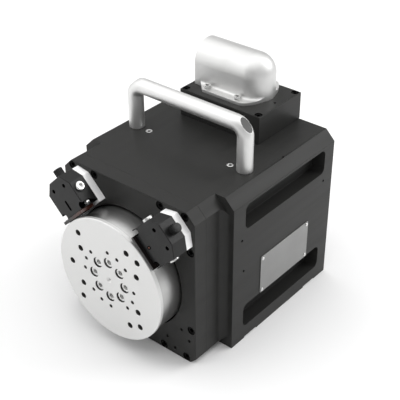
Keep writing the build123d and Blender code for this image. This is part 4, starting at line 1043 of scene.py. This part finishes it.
head_depth = 1.8
plate_screw = socket_screw(3.46, 4.0, cap_outline(head=6.4, height=7.2, shank=3.9, length=31.1))
plate_screws = [
    along_axis(plate_screw, (x, head_depth, z), (0, -1, 0))
    for x, z in on_circle(screw_circle, screw_turns)
]
screw_set("plate_screws", plate_screws, "faceplate_screws", "rotor", shaded_socket_bands=0)
elbow_low, elbow_high = [np.array(corner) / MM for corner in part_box("elbow_screws")]
flange_head = 4.25
flange_length = elbow_high[2] - elbow_low[2]
flange_outline = cap_outline(head=flange_head, height=5.0, shank=2.4, length=flange_length)
flange_screw = socket_screw(2.3, 2.6, flange_outline)
elbow_top_screws = [
    along_axis(flange_screw, (x, y, elbow_high[2]), (0, 0, 1))
    for x in (elbow_low[0] + flange_head, elbow_high[0] - flange_head)
    for y in (elbow_low[1] + flange_head, elbow_high[1] - flange_head)
]
screw_set("elbow_flange_screws", elbow_top_screws, "elbow_screws", "housing")
sunk_low, sunk_high = [np.array(corner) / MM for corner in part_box("top_screws")]
sunk_radius = (sunk_high[1] - sunk_low[1]) / 2
sunk_outline = [
    (sunk_radius - 0.25, 0.0), (sunk_radius, -0.12), (sunk_radius - 0.1, -0.35), (2.9, -1.6),
    (2.9, -9.5), (2.4, -10.0), (0.0, -10.0),
]
sunk_y = sunk_high[1] - sunk_radius
lifting_plug = socket_screw(2.3, 1.9, sunk_outline)
lifting_plugs = [
    along_axis(lifting_plug, (x, sunk_y, sunk_high[2]), (0, 0, 1))
    for x in (sunk_low[0] + sunk_radius, sunk_high[0] - sunk_radius)
]
screw_set("lifting_plugs", lifting_plugs, "top_screws", "housing")


def dome_outline(head, height, shank, length):
    """Low rounded head, then the shank."""
    return [
        (head - 1.6, 0.0), (head - 0.7, -0.15), (head - 0.2, -0.5), (head, -1.0), (head, -height),
        (shank, -height), (shank, 0.5 - length), (shank - 0.5, -length), (0.0, -length),
    ]


side_screw_out = 111.5
side_screw_depth = 15.0
head_screws = []
for side in (1, -1):
    for across, height, lean in ((34.5, 3.5, 1), (-17.5, 2.4, -1)):
        axis = np.array([-lean * side * diagonal, 0.0, lean * diagonal])
        foot = head_place(side, side_screw_out, across, side_screw_depth)
        outline = dome_outline(head=6.0, height=height, shank=3.9, length=height + 11.0)
        grid = socket_screw(2.9, 3.2, outline)
        head_screws.append(along_axis(grid, foot + height * axis, axis))
screw_set("head_round_screws", head_screws, "head_side_screws", "housing", shaded_socket_bands=0)
screw_sets = (plate_screws, elbow_top_screws, lifting_plugs, head_screws)
print("bright screws", sum(len(screws) for screws in screw_sets))

# %% [markdown]
# Small marks on the scanning heads: the right one shows a dim orange lamp in a ring of painted shade
# that stands for the dark hole round it, the left one a narrow slot drawn as painted shade. They are
# thin inlays on the front of the heads, a few tenths of a millimetre proud.

# %% Marks on the heads
head_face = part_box("right_head_body")[0][1] / MM


def front_inlay(name, centre, outline, side, stretch, material):
    """Rings (R cos t +- stretch, R sin t) for each radius and height of the outline."""
    turn = np.linspace(0, 2 * math.pi, 48, endpoint=False)
    outward = np.array([side * diagonal, 0.0, diagonal])
    across = np.array([-side * diagonal, 0.0, diagonal])
    rings = []
    for radius, height in outline:
        drawn = radius * np.cos(turn) + stretch * np.sign(np.round(np.cos(turn), 6)) * (radius > 0)
        ring = drawn[:, None] * outward + (radius * np.sin(turn))[:, None] * across
        ring[:, 1] -= height
        rings.append(ring + centre)
    mesh = grid_mesh(name, np.stack(rings) * MM, wrap_v=True)
    weld(mesh)
    smooth_by_angle(mesh)
    made = add_object(name, mesh, material)
    finish_piece(made, "housing", None)


lamp_centre = head_place(1, 97.0, 7.9, head_face)
ring_outline = [(0, -0.1), (2.2, -0.1), (2.2, 0.2), (1.2, 0.22), (0, 0.22)]
lens_outline = [(0, 0.1), (0.9, 0.1), (0.9, 0.26), (0.5, 0.36), (0, 0.4)]
# the ring is painted shade for the dark hole round the lamp
front_inlay("lamp_ring", lamp_centre, ring_outline, 1, 0.7, finish["painted_shade_black"])
front_inlay("lamp_lens", lamp_centre, lens_outline, 1, 0.4, finish["lamp_orange"])
slot_centre = head_place(-1, 100.5, 6.5, head_face)
slot_outline = [(0, -0.1), (1.7, -0.1), (1.7, 0.15), (0, 0.15)]
# the slot is painted shade for the recess
front_inlay("head_slot", slot_centre, slot_outline, -1, 5.3, finish["painted_shade_black"])
print("marks", 3)
